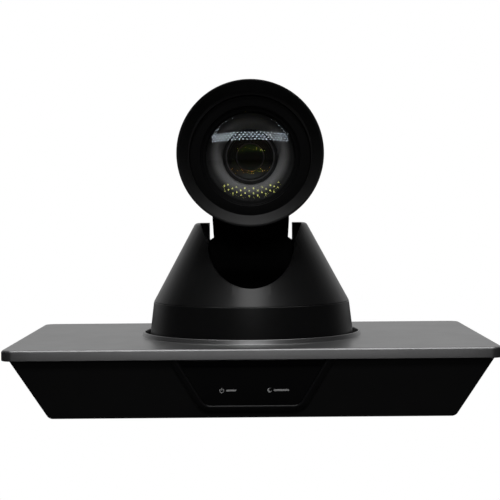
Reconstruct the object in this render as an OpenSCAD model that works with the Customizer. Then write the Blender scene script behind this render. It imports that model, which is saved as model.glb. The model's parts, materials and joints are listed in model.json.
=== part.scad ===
// Pan, tilt and zoom conference camera: a flat base that holds the electronics, a conical yoke that
// pans on it, and a round camera head that tilts between the yoke's two arms.
// Millimetres. +Z is up, the lens looks along -Y, and the origin is under the middle of the base,
// on the surface that its feet stand on.

/* [Base] */
// Width of the top plate, side to side
plate_w = 240; // [224:1:300]
// Depth of the top plate, front to back
plate_d = 152; // [146:1:190]
// Height of the top plate's upper face above the table
plate_z = 34; // [32:0.1:40]
// Height of the top plate's edge
lip_h = 5.2; // [3.6:0.1:6]
// Wall of the top plate's edge
lip_wall = 2.2; // [1.6:0.1:3]
// Thickness of the top plate's skin
plate_skin = 2.0; // [1.2:0.1:2.6]
// Corner radius of the top plate in plan
plate_corner_r = 6; // [3:0.5:12]
// Width of the raised bead around the opening of the top plate
bead_w = 1.6; // [1.2:0.1:6]
// Height of that bead
bead_h = 2.4; // [1:0.1:3]
// Width of the tray where its sides meet its floor
foot_w = 194; // [180:1:210]
// How far the tray's sides stand in from their upright part, at the plate's lower edge
side_step = 1.8; // [1:0.1:3]
// Wall of the tray
tray_wall = 2.2; // [1.6:0.1:3]
// Radius of the tray's lower edges
tray_edge_r = 3.5; // [2.6:0.1:5]
// How far the rubber feet stand below the tray
foot_proud = 1.0; // [0.6:0.1:2]

/* [Front window] */
// Width of the dark window at its top
window_top_w = 71.4; // [60:0.2:80]
// Width of the dark window at its bottom
window_foot_w = 44.8; // [40:0.2:50]
// Height of the window's lower edge above the table
window_z = 7; // [6:0.1:8]
// Width of the bevelled frame around the window
bezel_w = 3.6; // [2:0.1:4]
// How far the frame stands in front of the tray
bezel_proud = 1.9; // [1.2:0.1:2.3]

/* [Yoke] */
// Radius of the skirt at its bottom
skirt_r = 54; // [52:0.1:56]
// Radius where the skirt meets the cone
waist_r = 51.2; // [49:0.1:56]
// Height of that line above the table
waist_z = 52.2; // [50:0.1:56]
// Radius of the cone at the arms' tops, before their rounding
crown_r = 29.1; // [28:0.1:32]
// Height of the arms' tops above the table
crown_z = 93; // [90:0.1:96]
// Rounding of the arms' upper edges
crown_round = 2.6; // [1:0.1:3.5]
// Wall of the yoke's shell
shell_wall = 2.2; // [1.6:0.1:3]
// Width of the channel between the arms
channel_w = 43.6; // [42:0.1:48]
// Height of the channel's lowest point
channel_z = 60.8; // [59:0.1:63]

/* [Head] */
// Height of the tilt axis
tilt_z = 69.6; // [68:0.1:70]
// Radius of the drum that turns on the tilt axis
drum_r = 15; // [13:0.1:15.5]
// Width of the neck under the head
neck_w = 39.6; // [36:0.1:42]
// Depth of the neck, front to back
neck_d = 28; // [24:0.1:30]
// Height of the head's own axis
head_z = 127.8; // [126:0.1:134]
// How far the lens sits below the head's axis
lens_drop = 1.3; // [0:0.1:2]
// Outer radius of the hood
hood_r = 36.3; // [35:0.1:39]
// How far the hood's rim is in front of the pan axis
hood_y = 50; // [48:0.1:54]
// Outer radius of the barrel behind the hood
barrel_r = 31.5; // [30.5:0.1:32.5]
// How far the back of the head is behind the pan axis
head_back = 40; // [38:0.1:46]
// Wall of the head's casings
head_wall = 2.2; // [1.6:0.1:2.6]

/* [Lens] */
// Radius of the protective glass that shows
glass_r = 22.2; // [20:0.1:25]
// Radius of the curve of the protective glass
glass_curve = 74; // [60:1:120]
// Outer radius of the lens barrel at its front
lens_r = 13.7; // [12:0.1:14]
// Radius of the front element
element_r = 11.5; // [9:0.1:11.6]
// Travel of the zoom group
zoom_travel = 14; // [8:0.5:14]
// Travel of the focus group
focus_travel = 5; // [3:0.5:5]

/* [Gears] */
// Module of the pan gears
pan_module = 1.0; // [1:0.05:1]
// Teeth of the pan gear
pan_teeth = 90; // [88:2:92]
// Teeth of the pan motor's pinion
pan_pinion_teeth = 16; // [14:1:18]
// Module of the tilt gears
tilt_module = 0.8; // [0.8:0.05:0.8]
// Teeth of the tilt gear
tilt_teeth = 36; // [34:2:36]
// Teeth of the tilt motor's pinion
tilt_pinion_teeth = 14; // [14:1:15]

/* [Clearances] */
// Gap between the tray and the top plate's edge
tray_gap = 0.3; // [0.1:0.05:0.4]
// Gap between the skirt and the opening of the top plate
skirt_gap = 2.0; // [1.5:0.1:3]
// Gap between pieces that move past each other
move_gap = 0.3; // [0.3:0.05:0.5]
// Gap between pieces that are fitted together
fit_gap = 0.1; // [0.05:0.01:0.15]
// Radial clearance of a shaft in its bush
run_gap = 0.04; // [0.02:0.01:0.08]
// Backlash between two gears
backlash = 0.16; // [0.1:0.01:0.25]

/* [Hidden] */
$fn = 96;
eps = 0.01;

// Heights of the base, from the table up
tray_z = foot_proud;
floor_z = tray_z + tray_wall;
lip_z = plate_z - lip_h;
skin_z = plate_z - plate_skin;

// The tray's outline: upright inside the plate's edge, then sloping in to its floor
tray_half = plate_w / 2 - lip_wall - tray_gap;
lip_corner_r = 0.4;
foot_half = foot_w / 2;
tray_y = plate_d / 2 - lip_wall - tray_gap;
tray_run = tray_half - side_step - foot_half;
tray_rise = lip_z - tray_z;
tray_slope = atan(tray_run / tray_rise);

// Front window and its frame
window_top_z = lip_z - fit_gap;
window_slope = atan((window_top_w - window_foot_w) / 2 / (window_top_z - window_z));
window_ledge = 1.5;
window_t = 1.4;
window_corner_r = 5;
led_x = 12;
led_z = 14.2;
indicator_board_y = -tray_y + tray_wall + 0.9;
indicator_board_t = 1.2;

// Rear panel, main board and sockets
panel_w = 156;
panel_h = 17;
panel_z = 14.6;
panel_t = 1.2;
panel_y = tray_y - 1;
panel_lap = 2;
board_w = 150;
board_d = 46;
board_t = 1.6;
board_z = 7.6;
board_y1 = panel_y - panel_t - 0.6;
board_y0 = board_y1 - board_d;
board_top = board_z + board_t;
socket_face_y = tray_y + 0.5;
power_x = -62;
network_x = -40;
usb_x = -17;
hdmi_x = 5;
audio_x = 24;
serial_x = [42, 60];
serial_r = 4.9;

// Pan bearing, a 20 x 32 x 7 thin-section ball bearing
bearing_bore_r = 10;
bearing_outer_r = 16;
bearing_h = 7;
gear_z = plate_z - 10.4;
bearing_z = gear_z - 10;
bearing_ball_r = 1.5;
bearing_balls = 12;
bearing_pitch_r = (bearing_bore_r + bearing_outer_r) / 2;
race_half_gap = 0.8;
cable_bore_r = 7;

// Stack of the turning parts, from the bearing up
gear_h = 3.6;
disc_z = gear_z + gear_h;
disc_t = 2.8;
skirt_z = disc_z + disc_t;
skirt_lean = (skirt_r - waist_r) / (waist_z - 4 - skirt_z);
spigot_h = 2.6;
spigot_r = skirt_r - shell_wall - skirt_lean * spigot_h - 0.4;
hole_r = skirt_r + skirt_gap;
pan_distance = pan_module * (pan_teeth + pan_pinion_teeth) / 2;
pan_gear_root_r = pan_module * (pan_teeth / 2 - 1.25);
gear_ring_r = pan_gear_root_r - 6;
pan_motor_r = 14;
pan_motor_top = gear_z - 1.6;
motor_ear_y = 17.5;
stop_r = 30;
stop_pin_r = 1.8;
pan_limit = 170;

// Yoke
cone_slope = (waist_r - crown_r) / (crown_z - waist_z);
channel_half = channel_w / 2;
yoke_boss_r = 2.8;
yoke_boss_at = pan_gear_root_r - 3.15;
yoke_boss_top = waist_z + 7.4;
scoop_z = crown_z - 10;
scoop_w = 4.6;
scoop_y = 8;
cheek_t = 2;
cheek_x = channel_half;
frame_t = 1.6;
upright_x = 29;
upright_half_d = 11;
bush_r = 5;
bush_flange_r = 6.5;
bush_flange_t = 1;
bush_len = 4;
shaft_r = 4;
tilt_gear_x = cheek_x + cheek_t + 0.6;
tilt_gear_t = 3.2;
tilt_distance = tilt_module * (tilt_teeth + tilt_pinion_teeth) / 2;
tilt_motor_r = 10;
tilt_motor_len = 12.9;
motor_shaft_r = 1.5;

// Head, from the rim back
optic_z = head_z - lens_drop;
drum_half = channel_half - move_gap;
neck_half = neck_w / 2;
neck_foot_half = neck_half - 0.6;
neck_wall = 2;
shaft_flange_r = 9;
shaft_flange_t = 1.8;
rim_depth = 4.6;
rim_r = hood_r - 0.7;
throat_r = 30.8;
hood_back_y = -hood_y + 30;
ring_r = 30;
ring_t = 2.4;
ring_y = -hood_y + 6.6;
glass_seat_r = glass_r + 1.6;
glass_edge_t = 2;
glass_y = ring_y + ring_t;
glass_sag = glass_curve - sqrt(glass_curve * glass_curve - glass_r * glass_r);
cone_y = glass_y + glass_edge_t;
cone_depth = 7.8;
cone_wall = 1.5;
lens_front_y = cone_y + 5.6;
lens_body_r = 20;
lens_body_y = cone_y + cone_depth + cone_wall + 0.4;
lens_back_y = 20;
lens_bore_r = lens_body_r - 2;
barrel_front_y = -hood_y + 20;
barrel_back_y = 18;
element_t = 5;
rod_r = 1;
rod_at = 16;
zoom_y = -15;
focus_y = 7;
cell_len = 5;
focus_cell_len = 4;
cell_r = 14.4;
zoom_lens_r = 8;
focus_lens_r = 6.4;
lens_fit = 0.02;

function polar(r, a) = [r * cos(a), r * sin(a)];
function arc(c, r, a0, a1, n = 8) = [for (i = [0:n]) c + polar(r, a0 + (a1 - a0) * i / n)];
function mirrored(pts) = [for (i = [len(pts) - 1:-1:0]) [-pts[i][0], pts[i][1]]];
function cone_r(z) = waist_r - (z - waist_z) * cone_slope;
function corners(x, y) = [for (sx = [-1, 1]) for (sy = [-1, 1]) [sx * x, sy * y]];

// Half width of the tray's sloping side at a height, moved in by a wall
function tray_side(z, inset) =
    foot_half + (z - tray_z) * tray_run / tray_rise - inset / cos(tray_slope);

function tray_points(inset, top) =
    let (r = max(tray_edge_r - inset, 0.4))
    let (z0 = tray_z + inset)
    let (centre = [tray_side(z0 + r, inset) - r / cos(tray_slope), z0 + r])
    let (side = tray_half - inset)
    let (knee = tray_z + (side - foot_half + inset / cos(tray_slope)) * tray_rise / tray_run)
    let (half = concat(arc(centre, r, -90, -tray_slope), [[side, knee], [side, top]]))
    concat(half, mirrored(half));

// A trapezium around the window, moved out by a margin, with rounded lower corners
function window_points(margin, top) =
    let (r = window_corner_r + margin)
    let (z0 = window_z - margin)
    let (foot = window_foot_w / 2 - margin * tan(window_slope) + margin / cos(window_slope))
    let (side = foot + r * tan(window_slope) - r / cos(window_slope))
    let (top_half = foot + (top - z0) * tan(window_slope))
    let (half = concat(arc([side, z0 + r], r, -90, -window_slope), [[top_half, top]]))
    concat(half, mirrored(half));

// Turns an outline drawn in X and Z into a solid between two depths
module across_y(y0, y1) {
    translate([0, y1, 0]) rotate([90, 0, 0]) linear_extrude(y1 - y0) children();
}

// Turns an outline drawn in Y and Z into a solid between two places along X
module across_x(x0, x1) {
    translate([x0, 0, 0]) rotate([90, 0, 90]) linear_extrude(x1 - x0) children();
}

// A round solid about a line that runs front to back at a height, from a (radius, y) outline
module turned_y(z) {
    translate([0, 0, z]) rotate([-90, 0, 0]) rotate_extrude() children();
}

module disc_y(r, y0, y1, z, x = 0) {
    translate([x, y0, z]) rotate([-90, 0, 0]) cylinder(r = r, h = y1 - y0);
}

module disc_x(r, x0, x1, y, z) {
    translate([x0, y, z]) rotate([0, 90, 0]) cylinder(r = r, h = x1 - x0);
}

module box(x0, x1, y0, y1, z0, z1) {
    translate([x0, y0, z0]) cube([x1 - x0, y1 - y0, z1 - z0]);
}

module rounded_slab(w, d, h, r) {
    translate([-w / 2, -d / 2 + r, 0]) cube([w, d - 2 * r, h]);
    translate([-w / 2 + r, -d / 2, 0]) cube([w - 2 * r, d, h]);
    for (p = corners(w / 2 - r, d / 2 - r)) translate(p) cylinder(r = r, h = h);
}

module tube(r_out, r_in, z0, z1) {
    difference() {
        translate([0, 0, z0]) cylinder(r = r_out, h = z1 - z0);
        translate([0, 0, z0 - 1]) cylinder(r = r_in, h = z1 - z0 + 2);
    }
}

// A pan head screw with a hexagonal recess that points up, with the top of its head at height 0
module screw_up(head_r, head_h, shank_r, length) {
    difference() {
        cylinder(r = head_r, h = head_h);
        translate([0, 0, -eps]) cylinder(r = head_r * 0.45, h = head_h * 0.6, $fn = 6);
    }
    translate([0, 0, head_h]) cylinder(r = shank_r, h = length);
}

// An involute spur gear's outline. flank holds the radii at which each flank has a point.
function inv_deg(r, rb) = let (a = acos(min(1, rb / r))) tan(a) * 180 / PI - a;
function tooth_half_angle(m, n, r) =
    let (rp = m * n / 2)
    let (rb = rp * cos(20))
    90 / n - backlash / 4 / rp * 180 / PI + inv_deg(rp, rb) - inv_deg(max(r, rb), rb);
function gear_points(m, n) =
    let (rp = m * n / 2)
    let (root = rp - 1.25 * m)
    let (flank = [root, max(rp - 0.5 * m, rp * cos(20)), rp, rp + 0.5 * m, rp + 0.9 * m])
    [for (i = [0:n - 1]) for (j = [0:9])
        let (k = j < 5 ? j : 9 - j)
        let (side = j < 5 ? -1 : 1)
        polar(flank[k], 360 * i / n + side * tooth_half_angle(m, n, flank[k]))];

// ---------------------------------------------------------------- base

feet_at = corners(foot_half - 27, tray_y - 17.5);
screws_at = [for (sx = [-1, 1]) for (y = [-(tray_y - 15.5), 0, tray_y - 15.5]) [sx * (foot_half - 13), y]];
bracket_at = corners(50, 30);
bush_y = -42;
base_boss_split = 10;
base_boss_r = 3.8;
foot_r = 6;
foot_recess = 1.2;

module base_tray() {
    color([0.05, 0.05, 0.055]) difference() {
        union() {
            difference() {
                across_y(-tray_y, tray_y) polygon(tray_points(0, skin_z - fit_gap));
                across_y(-tray_y + tray_wall, tray_y - tray_wall)
                    polygon(tray_points(tray_wall, plate_z + 1));
            }
            for (p = screws_at) translate([p[0], p[1], tray_z + 1])
                cylinder(r = base_boss_r, h = base_boss_split - tray_z - 1);
            for (p = bracket_at) translate([p[0], p[1], tray_z + 1]) cylinder(r = 4.2, h = 5.4);
            translate([0, bush_y, tray_z + 1]) cylinder(r = 8.6, h = 6.4);
            // Posts under the main board
            for (p = board_posts()) translate([p[0], p[1], tray_z + 1])
                cylinder(r = 2.8, h = board_z - tray_z - 1);
        }
        for (p = board_posts()) translate([p[0], p[1], floor_z + 1]) cylinder(r = 1.25, h = board_z);
        for (p = screws_at) translate([p[0], p[1], 0]) {
            cylinder(r = 1.7, h = base_boss_split + 1);
            cylinder(r = 3.1, h = tray_z + 2.6);
        }
        for (p = bracket_at) translate([p[0], p[1], 0]) cylinder(r = bracket_hole_r, h = tray_z + 5);
        translate([0, bush_y, 0]) cylinder(r = 6 + fit_gap, h = 12);
        for (p = feet_at) translate([p[0], p[1], 0]) cylinder(r = foot_r + fit_gap, h = tray_z + foot_recess);
        for (p = frame_feet()) translate([p[0], p[1], 0]) {
            cylinder(r = 1.7, h = floor_z + 1);
            cylinder(r = 3, h = tray_z + 1.1);
        }
        // Opening behind the window, and the one that the rear panel closes
        across_y(-tray_y - 1, -tray_y + tray_wall + 1)
            polygon(window_points(-window_ledge, window_top_z - 3));
        box(-panel_w / 2 + panel_lap, panel_w / 2 - panel_lap, tray_y - tray_wall - 1, tray_y + 1,
            panel_z - panel_h / 2 + panel_lap, panel_z + panel_h / 2 - panel_lap);
        box(-panel_w / 2 - fit_gap, panel_w / 2 + fit_gap, panel_y - panel_t, tray_y + 1,
            panel_z - panel_h / 2 - fit_gap, panel_z + panel_h / 2 + fit_gap);
        // Vents through the floor
        for (sx = [-1, 1]) for (i = [0:7])
            box(sx * 25 - 9, sx * 25 + 9, -62 + i * 2.6, -60.8 + i * 2.6, -1, floor_z + 1);
    }
}
bracket_hole_r = 2;

module top_plate() {
    color([0.42, 0.42, 0.43]) difference() {
        union() {
            difference() {
                translate([0, 0, lip_z]) rounded_slab(plate_w, plate_d, lip_h, plate_corner_r);
                translate([0, 0, lip_z - 1])
                    rounded_slab(plate_w - 2 * lip_wall, plate_d - 2 * lip_wall, skin_z - lip_z + 1,
                        lip_corner_r);
            }
            translate([0, 0, lip_z]) cylinder(r = hole_r + 2, h = skin_z - lip_z + eps);
            rotate_extrude() translate([hole_r, 0]) polygon(bead_points());
            for (p = screws_at) translate([p[0], p[1], base_boss_split + fit_gap])
                cylinder(r = base_boss_r, h = skin_z - base_boss_split);
        }
        translate([0, 0, lip_z - 1]) cylinder(r = hole_r, h = plate_z);
        for (p = screws_at) translate([p[0], p[1], 0]) cylinder(r = 1.5, h = plate_z - 6);
    }
}
function bead_points() =
    let (r = min(bead_h * 0.7, bead_w / 2 - 0.05))
    concat([[0, plate_z - 1], [bead_w, plate_z - 1]],
        arc([bead_w - r, plate_z + bead_h - r], r, 0, 90), arc([r, plate_z + bead_h - r], r, 90, 180));

module window_bezel() {
    // Two steps stand for the frame's chamfer, which leans back to the tray
    step = bezel_proud * 0.6;
    color([0.08, 0.08, 0.085]) difference() {
        union() {
            across_y(-tray_y - bezel_proud + step, -tray_y) polygon(window_points(bezel_w, window_top_z));
            across_y(-tray_y - bezel_proud, -tray_y) polygon(window_points(bezel_w / 2, window_top_z));
        }
        across_y(-tray_y - bezel_proud - 1, -tray_y + 1) polygon(window_points(fit_gap, window_top_z + 1));
    }
}

module scale_x(s) {
    if (s > 0) children();
    else mirror([1, 0, 0]) children();
}

module front_window() {
    color([0.01, 0.01, 0.012])
        across_y(-tray_y - window_t, -tray_y) polygon(window_points(0, window_top_z));
}

module indicator_board() {
    color([0.05, 0.25, 0.12]) box(-22, 22, indicator_board_y, indicator_board_y + indicator_board_t,
        led_z - 4.6, led_z + 8.4);
}

module indicator_leds() {
    color([0.95, 0.97, 1]) for (sx = [-1, 1])
        box(sx * led_x - 1.5, sx * led_x + 1.5, -tray_y + 0.6, indicator_board_y, led_z - 1, led_z + 1);
}

module ir_receivers() {
    z = led_z + 4.4;
    color([0.06, 0.02, 0.03]) for (sx = [-1, 1]) {
        box(sx * 19 - 2, sx * 19 + 2, -tray_y + 1.9, indicator_board_y, z - 2.4, z + 2.4);
        disc_y(1.6, -tray_y + 0.6, -tray_y + 1.9, z, sx * 19);
    }
}

module rear_panel() {
    y0 = panel_y - panel_t + fit_gap;
    color([0.12, 0.12, 0.13]) difference() {
        box(-panel_w / 2, panel_w / 2, y0, panel_y,
            panel_z - panel_h / 2, panel_z + panel_h / 2);
        disc_y(4.2, y0 - 1, panel_y + 1, board_top + 5.5, power_x);
        socket_hole(network_x, 16.2, 13.7);
        socket_hole(usb_x, 12.3, 11.2);
        socket_hole(hdmi_x, 15.4, 6.2);
        disc_y(3.3, y0 - 1, panel_y + 1, board_top + 3.6, audio_x);
        for (x = serial_x) disc_y(serial_r + 0.2, y0 - 1, panel_y + 1, board_top + 6, x);
        for (x = panel_screw_x) disc_y(1.4, y0 - 1, panel_y + 1, panel_z, x);
    }
}
panel_screw_x = [-panel_w / 2 + 3.9, panel_w / 2 - 3.9];

module socket_hole(x, w, h) {
    box(x - w / 2, x + w / 2, panel_y - 3, panel_y + 3, board_top - 0.2, board_top + h);
}

power_hole_r = 3.15;

module power_socket() {
    z = board_top + 5.5;
    color([0.04, 0.04, 0.04]) difference() {
        union() {
            box(power_x - 4.5, power_x + 4.5, board_y1 - 10, board_y1 - 0.2, board_top, board_top + 10.8);
            disc_y(4, board_y1 - 1, socket_face_y, z, power_x);
        }
        disc_y(power_hole_r, board_y1 - 7, socket_face_y + 1, z, power_x);
    }
    color([0.8, 0.8, 0.8]) disc_y(0.65, board_y1 - 8, socket_face_y - 1.5, z, power_x);
}

module network_socket() {
    x = network_x;
    color([0.7, 0.7, 0.7]) difference() {
        box(x - 8, x + 8, board_y1 - 20, socket_face_y, board_top, board_top + 13.5);
        box(x - 5.9, x + 5.9, board_y1 - 12, socket_face_y + 1, board_top + 2.2, board_top + 9.5);
        box(x - 3, x + 3, board_y1 - 12, socket_face_y + 1, board_top + 2.2, board_top + 11.5);
    }
}

module usb_socket() {
    x = usb_x;
    color([0.7, 0.7, 0.7]) difference() {
        box(x - 6, x + 6, board_y1 - 14, socket_face_y, board_top, board_top + 11);
        box(x - 4.4, x + 4.4, board_y1 - 9, socket_face_y + 1, board_top + 1.4, board_top + 9.4);
    }
    color([0.1, 0.25, 0.6]) box(x - 2.8, x + 2.8, board_y1 - 9.5, socket_face_y - 5, board_top + 3.6, board_top + 7);
}

module hdmi_socket() {
    x = hdmi_x;
    color([0.75, 0.75, 0.75]) difference() {
        box(x - 7.5, x + 7.5, board_y1 - 11, socket_face_y, board_top, board_top + 6);
        box(x - 6.9, x + 6.9, board_y1 - 8, socket_face_y + 1, board_top + 0.7, board_top + 5.3);
    }
    color([0.05, 0.05, 0.05]) box(x - 5.5, x + 5.5, board_y1 - 8, board_y1 - 1, board_top + 2.5, board_top + 3.5);
}

module audio_socket() {
    z = board_top + 3.6;
    color([0.2, 0.5, 0.25]) difference() {
        union() {
            box(audio_x - 3.4, audio_x + 3.4, board_y1 - 11, board_y1 - 0.2, board_top, board_top + 7);
            disc_y(3.1, board_y1 - 1, socket_face_y, z, audio_x);
        }
        disc_y(1.8, board_y1 - 9, socket_face_y + 1, z, audio_x);
    }
}

module serial_sockets() {
    z = board_top + 6;
    for (x = serial_x) {
        color([0.05, 0.05, 0.05]) difference() {
            union() {
                box(x - 7, x + 7, board_y1 - 11, board_y1 - 0.2, board_top, board_top + 12.4);
                disc_y(serial_r, board_y1 - 1, socket_face_y, z, x);
            }
            disc_y(serial_r - 0.6, board_y1 - 6, socket_face_y + 1, z, x);
        }
        color([0.04, 0.04, 0.04]) disc_y(2.4, board_y1 - 6.5, board_y1 - 1.5, z, x);
    }
}

function board_posts() = concat(
    [for (sx = [-1, 1]) [sx * 68, board_y0 + 5]],
    [[-72, board_y1 - 5], [72, board_y1 - 5], [14, board_y1 - 22]]);

module main_board() {
    color([0.04, 0.3, 0.15]) difference() {
        box(-board_w / 2, board_w / 2, board_y0, board_y1, board_z, board_top);
        for (p = board_posts()) translate([p[0], p[1], 0]) cylinder(r = 1.4, h = 20);
    }
}

module board_chips() {
    color([0.08, 0.08, 0.09]) {
        box(-12, 6, board_y0 + 6, board_y0 + 20, board_top, board_top + 1.6);
        box(-34, -24, board_y0 + 8, board_y0 + 16, board_top, board_top + 1.2);
        box(24, 38, board_y0 + 7, board_y0 + 17, board_top, board_top + 1.4);
        for (i = [0:3]) translate([-56 + i * 7.4, board_y0 + 16, board_top]) cylinder(r = 2.5, h = 5);
        for (i = [0:2]) box(48 + i * 7, 52 + i * 7, board_y0 + 7, board_y0 + 12, board_top, board_top + 2.4);
    }
}

module board_screws() {
    color([0.6, 0.6, 0.6]) for (p = board_posts()) translate([p[0], p[1], board_top + 1.2])
        rotate([180, 0, 0]) screw_up(2.4, 1.2, 1.2, board_t + 2);
}

function frame_feet() = [[20, -20], [20, 20], [-20, -20], [-20, 20], [-62, -22], [-62, 22]];

module pan_frame() {
    stop_half = 180 - pan_limit - asin(stop_pin_r / stop_r);
    color([0.55, 0.56, 0.58]) difference() {
        union() {
            translate([0, 0, floor_z]) {
                cylinder(r = 26, h = 1.8);
                translate([-pan_distance - 14, -24, 0]) cube([pan_distance + 14, 48, 1.8]);
                translate([0, -24, 0]) cube([24, 48, 1.8]);
                cylinder(r = bearing_outer_r + 3.5, h = bearing_z + bearing_h - floor_z);
                for (s = [-1, 1]) translate([-pan_distance, s * motor_ear_y, 0])
                    cylinder(r = 3.4, h = pan_motor_top - 1 - floor_z);
            }
            // Stop post that the turntable's pin meets at each end of the pan
            box(-stop_r - 2, -stop_r + 2, -(stop_r * sin(stop_half) - move_gap),
                stop_r * sin(stop_half) - move_gap, floor_z, gear_z - 0.6);
        }
        translate([0, 0, bearing_z]) cylinder(r = bearing_outer_r, h = 20);
        cylinder(r = bearing_outer_r - 1.6, h = 20);
        for (s = [-1, 1]) translate([-pan_distance, s * motor_ear_y, floor_z + 4]) cylinder(r = 1.25, h = 20);
        for (p = frame_feet()) translate([p[0], p[1], 0]) cylinder(r = 1.25, h = 10);
    }
}

module race(z, extra) {
    translate([0, 0, z + bearing_h / 2]) rotate_extrude() translate([bearing_pitch_r, 0])
        circle(r = bearing_ball_r + extra);
}

module pan_bearing_outer() {
    color([0.7, 0.71, 0.73]) difference() {
        tube(bearing_outer_r, bearing_pitch_r + race_half_gap, bearing_z, bearing_z + bearing_h);
        race(bearing_z, 0.02);
    }
}

module pan_bearing_inner() {
    color([0.7, 0.71, 0.73]) difference() {
        tube(bearing_pitch_r - race_half_gap, bearing_bore_r, bearing_z, bearing_z + bearing_h);
        race(bearing_z, 0.04);
    }
}

module pan_bearing_balls() {
    color([0.8, 0.81, 0.83]) for (i = [0:bearing_balls - 1])
        rotate([0, 0, (i + 0.5) * 360 / bearing_balls])
            translate([bearing_pitch_r, 0, bearing_z + bearing_h / 2]) sphere(r = bearing_ball_r);
}

module pan_motor() {
    color([0.6, 0.6, 0.62]) translate([-pan_distance, 0, 0]) difference() {
        union() {
            translate([0, 0, floor_z + 2.2]) cylinder(r = pan_motor_r, h = pan_motor_top - floor_z - 2.2);
            translate([-4, -motor_ear_y - 3.5, pan_motor_top - 1]) cube([8, 2 * motor_ear_y + 7, 1]);
            translate([0, 0, pan_motor_top - eps]) cylinder(r = 4.5, h = 1);
        }
        translate([0, 0, bearing_z]) cylinder(r = 2.5 + run_gap, h = 20);
        for (s = [-1, 1]) translate([0, s * motor_ear_y, pan_motor_top - 3]) cylinder(r = 1.6, h = 6);
    }
}

module tripod_bush() {
    color([0.75, 0.6, 0.3]) translate([0, bush_y, 0]) difference() {
        translate([0, 0, tray_z]) cylinder(r = 6, h = 7);
        translate([0, 0, tray_z - 1]) cylinder(r = tripod_thread_r, h = 10);
    }
}
tripod_thread_r = 3.175;

module rubber_feet() {
    color([0.03, 0.03, 0.03]) for (p = feet_at) translate([p[0], p[1], 0])
        rotate_extrude() polygon([[0, 0], [foot_r - 0.6, 0], [foot_r, 0.6], [foot_r, tray_z + foot_recess],
            [0, tray_z + foot_recess]]);
}

module base_screws() {
    color([0.25, 0.25, 0.26]) for (p = screws_at) translate([p[0], p[1], tray_z + 0.6])
        screw_up(2.8, 2, 1.45, 15);
}

module panel_screws() {
    color([0.3, 0.3, 0.31]) for (x = panel_screw_x) translate([x, panel_y + 1.2, panel_z])
        rotate([90, 0, 0]) screw_up(2.2, 1.2, 1.2, panel_t - fit_gap);
}

module frame_screws() {
    color([0.6, 0.6, 0.6]) {
        for (p = frame_feet()) translate([p[0], p[1], tray_z + 0.1]) screw_up(2.6, 1, 1.2, floor_z + 0.4 - tray_z);
        for (s = [-1, 1]) translate([-pan_distance, s * motor_ear_y, pan_motor_top + 1.2])
            rotate([180, 0, 0]) screw_up(2.6, 1.2, 1.2, 7);
    }
}

// ---------------------------------------------------------------- turning yoke

yoke_screw_angles = [45, 135, 225, 315];

module turntable() {
    color([0.5, 0.51, 0.53]) difference() {
        union() {
            translate([0, 0, disc_z]) cylinder(r = skirt_r, h = disc_t);
            translate([0, 0, bearing_z + bearing_h]) cylinder(r = 12, h = disc_z - bearing_z - bearing_h + eps);
            translate([0, 0, bearing_z - 1.8]) cylinder(r = bearing_bore_r, h = bearing_h + 2);
            tube(spigot_r, spigot_r - 2, skirt_z - eps, skirt_z + spigot_h);
            translate([stop_r, 0, gear_z - 2]) cylinder(r = stop_pin_r, h = disc_z - gear_z + 2 + eps);
        }
        translate([0, 0, bearing_z - 3]) cylinder(r = cable_bore_r, h = 40);
        tube(bearing_bore_r + 1, bearing_bore_r - 0.6, bearing_z - 1.3, bearing_z - fit_gap);
        for (a = yoke_screw_angles) rotate([0, 0, a]) translate([yoke_boss_at, 0, 0]) cylinder(r = 1.4, h = 60);
    }
}

module pan_gear() {
    color([0.85, 0.84, 0.8]) difference() {
        translate([0, 0, gear_z]) linear_extrude(gear_h) polygon(gear_points(pan_module, pan_teeth));
        translate([0, 0, gear_z - 1]) cylinder(r = gear_ring_r, h = gear_h + 2);
        for (a = yoke_screw_angles) rotate([0, 0, a]) translate([yoke_boss_at, 0, gear_z - 1]) {
            cylinder(r = 1.4, h = 10);
            cylinder(r = 2.6, h = 2.8);
        }
    }
}

module pan_retainer() {
    z0 = bearing_z - 1.3 + fit_gap / 2;
    color([0.35, 0.35, 0.36]) difference() {
        tube(bearing_bore_r + 2, bearing_bore_r - 0.55, z0, bearing_z - fit_gap - fit_gap / 2);
        box(0, 20, -1.6, 1.6, z0 - 1, bearing_z);
    }
}

module skirt_ring() {
    wall = shell_wall;
    color([0.045, 0.045, 0.05]) difference() {
        union() {
            rotate_extrude() polygon([
                [skirt_r - wall, skirt_z], [skirt_r, skirt_z], [waist_r + 0.1, waist_z - 0.4],
                [waist_r - 0.3, waist_z], [waist_r - wall - fit_gap, waist_z],
                [waist_r - wall - fit_gap, waist_z + 2.4], [waist_r - 2 * wall, waist_z + 2.4],
                [waist_r - 2 * wall, waist_z - 2], [waist_r - wall, waist_z - 4]]);
            yoke_bosses(skirt_z, waist_z, spigot_h + move_gap);
        }
        for (a = yoke_screw_angles) rotate([0, 0, a]) translate([yoke_boss_at, 0, skirt_z - 1])
            cylinder(r = 1.4, h = 60);
    }
}

// Screw columns on webs that reach out to the wall around them and start a little above z0
module yoke_bosses(z0, z1, web_lift = 0) {
    for (a = yoke_screw_angles) rotate([0, 0, a]) {
        translate([yoke_boss_at, 0, z0]) cylinder(r = yoke_boss_r, h = z1 - z0);
        translate([yoke_boss_at, -1, z0 + web_lift])
            cube([cone_r(z1) - yoke_boss_at - shell_wall / 2, 2, z1 - z0 - web_lift]);
    }
}

function crown_points(inset) =
    let (k = inset / cos(atan(cone_slope)))
    let (top = crown_z - inset)
    let (r = max(crown_round - inset, 0.3))
    let (a = atan(cone_slope))
    let (cz = top - r)
    let (cr = cone_r(cz) - k - r / cos(a))
    concat([[0, waist_z], [waist_r - k, waist_z]], arc([cr, cz], r, a, 90), [[0, top]]);

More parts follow.
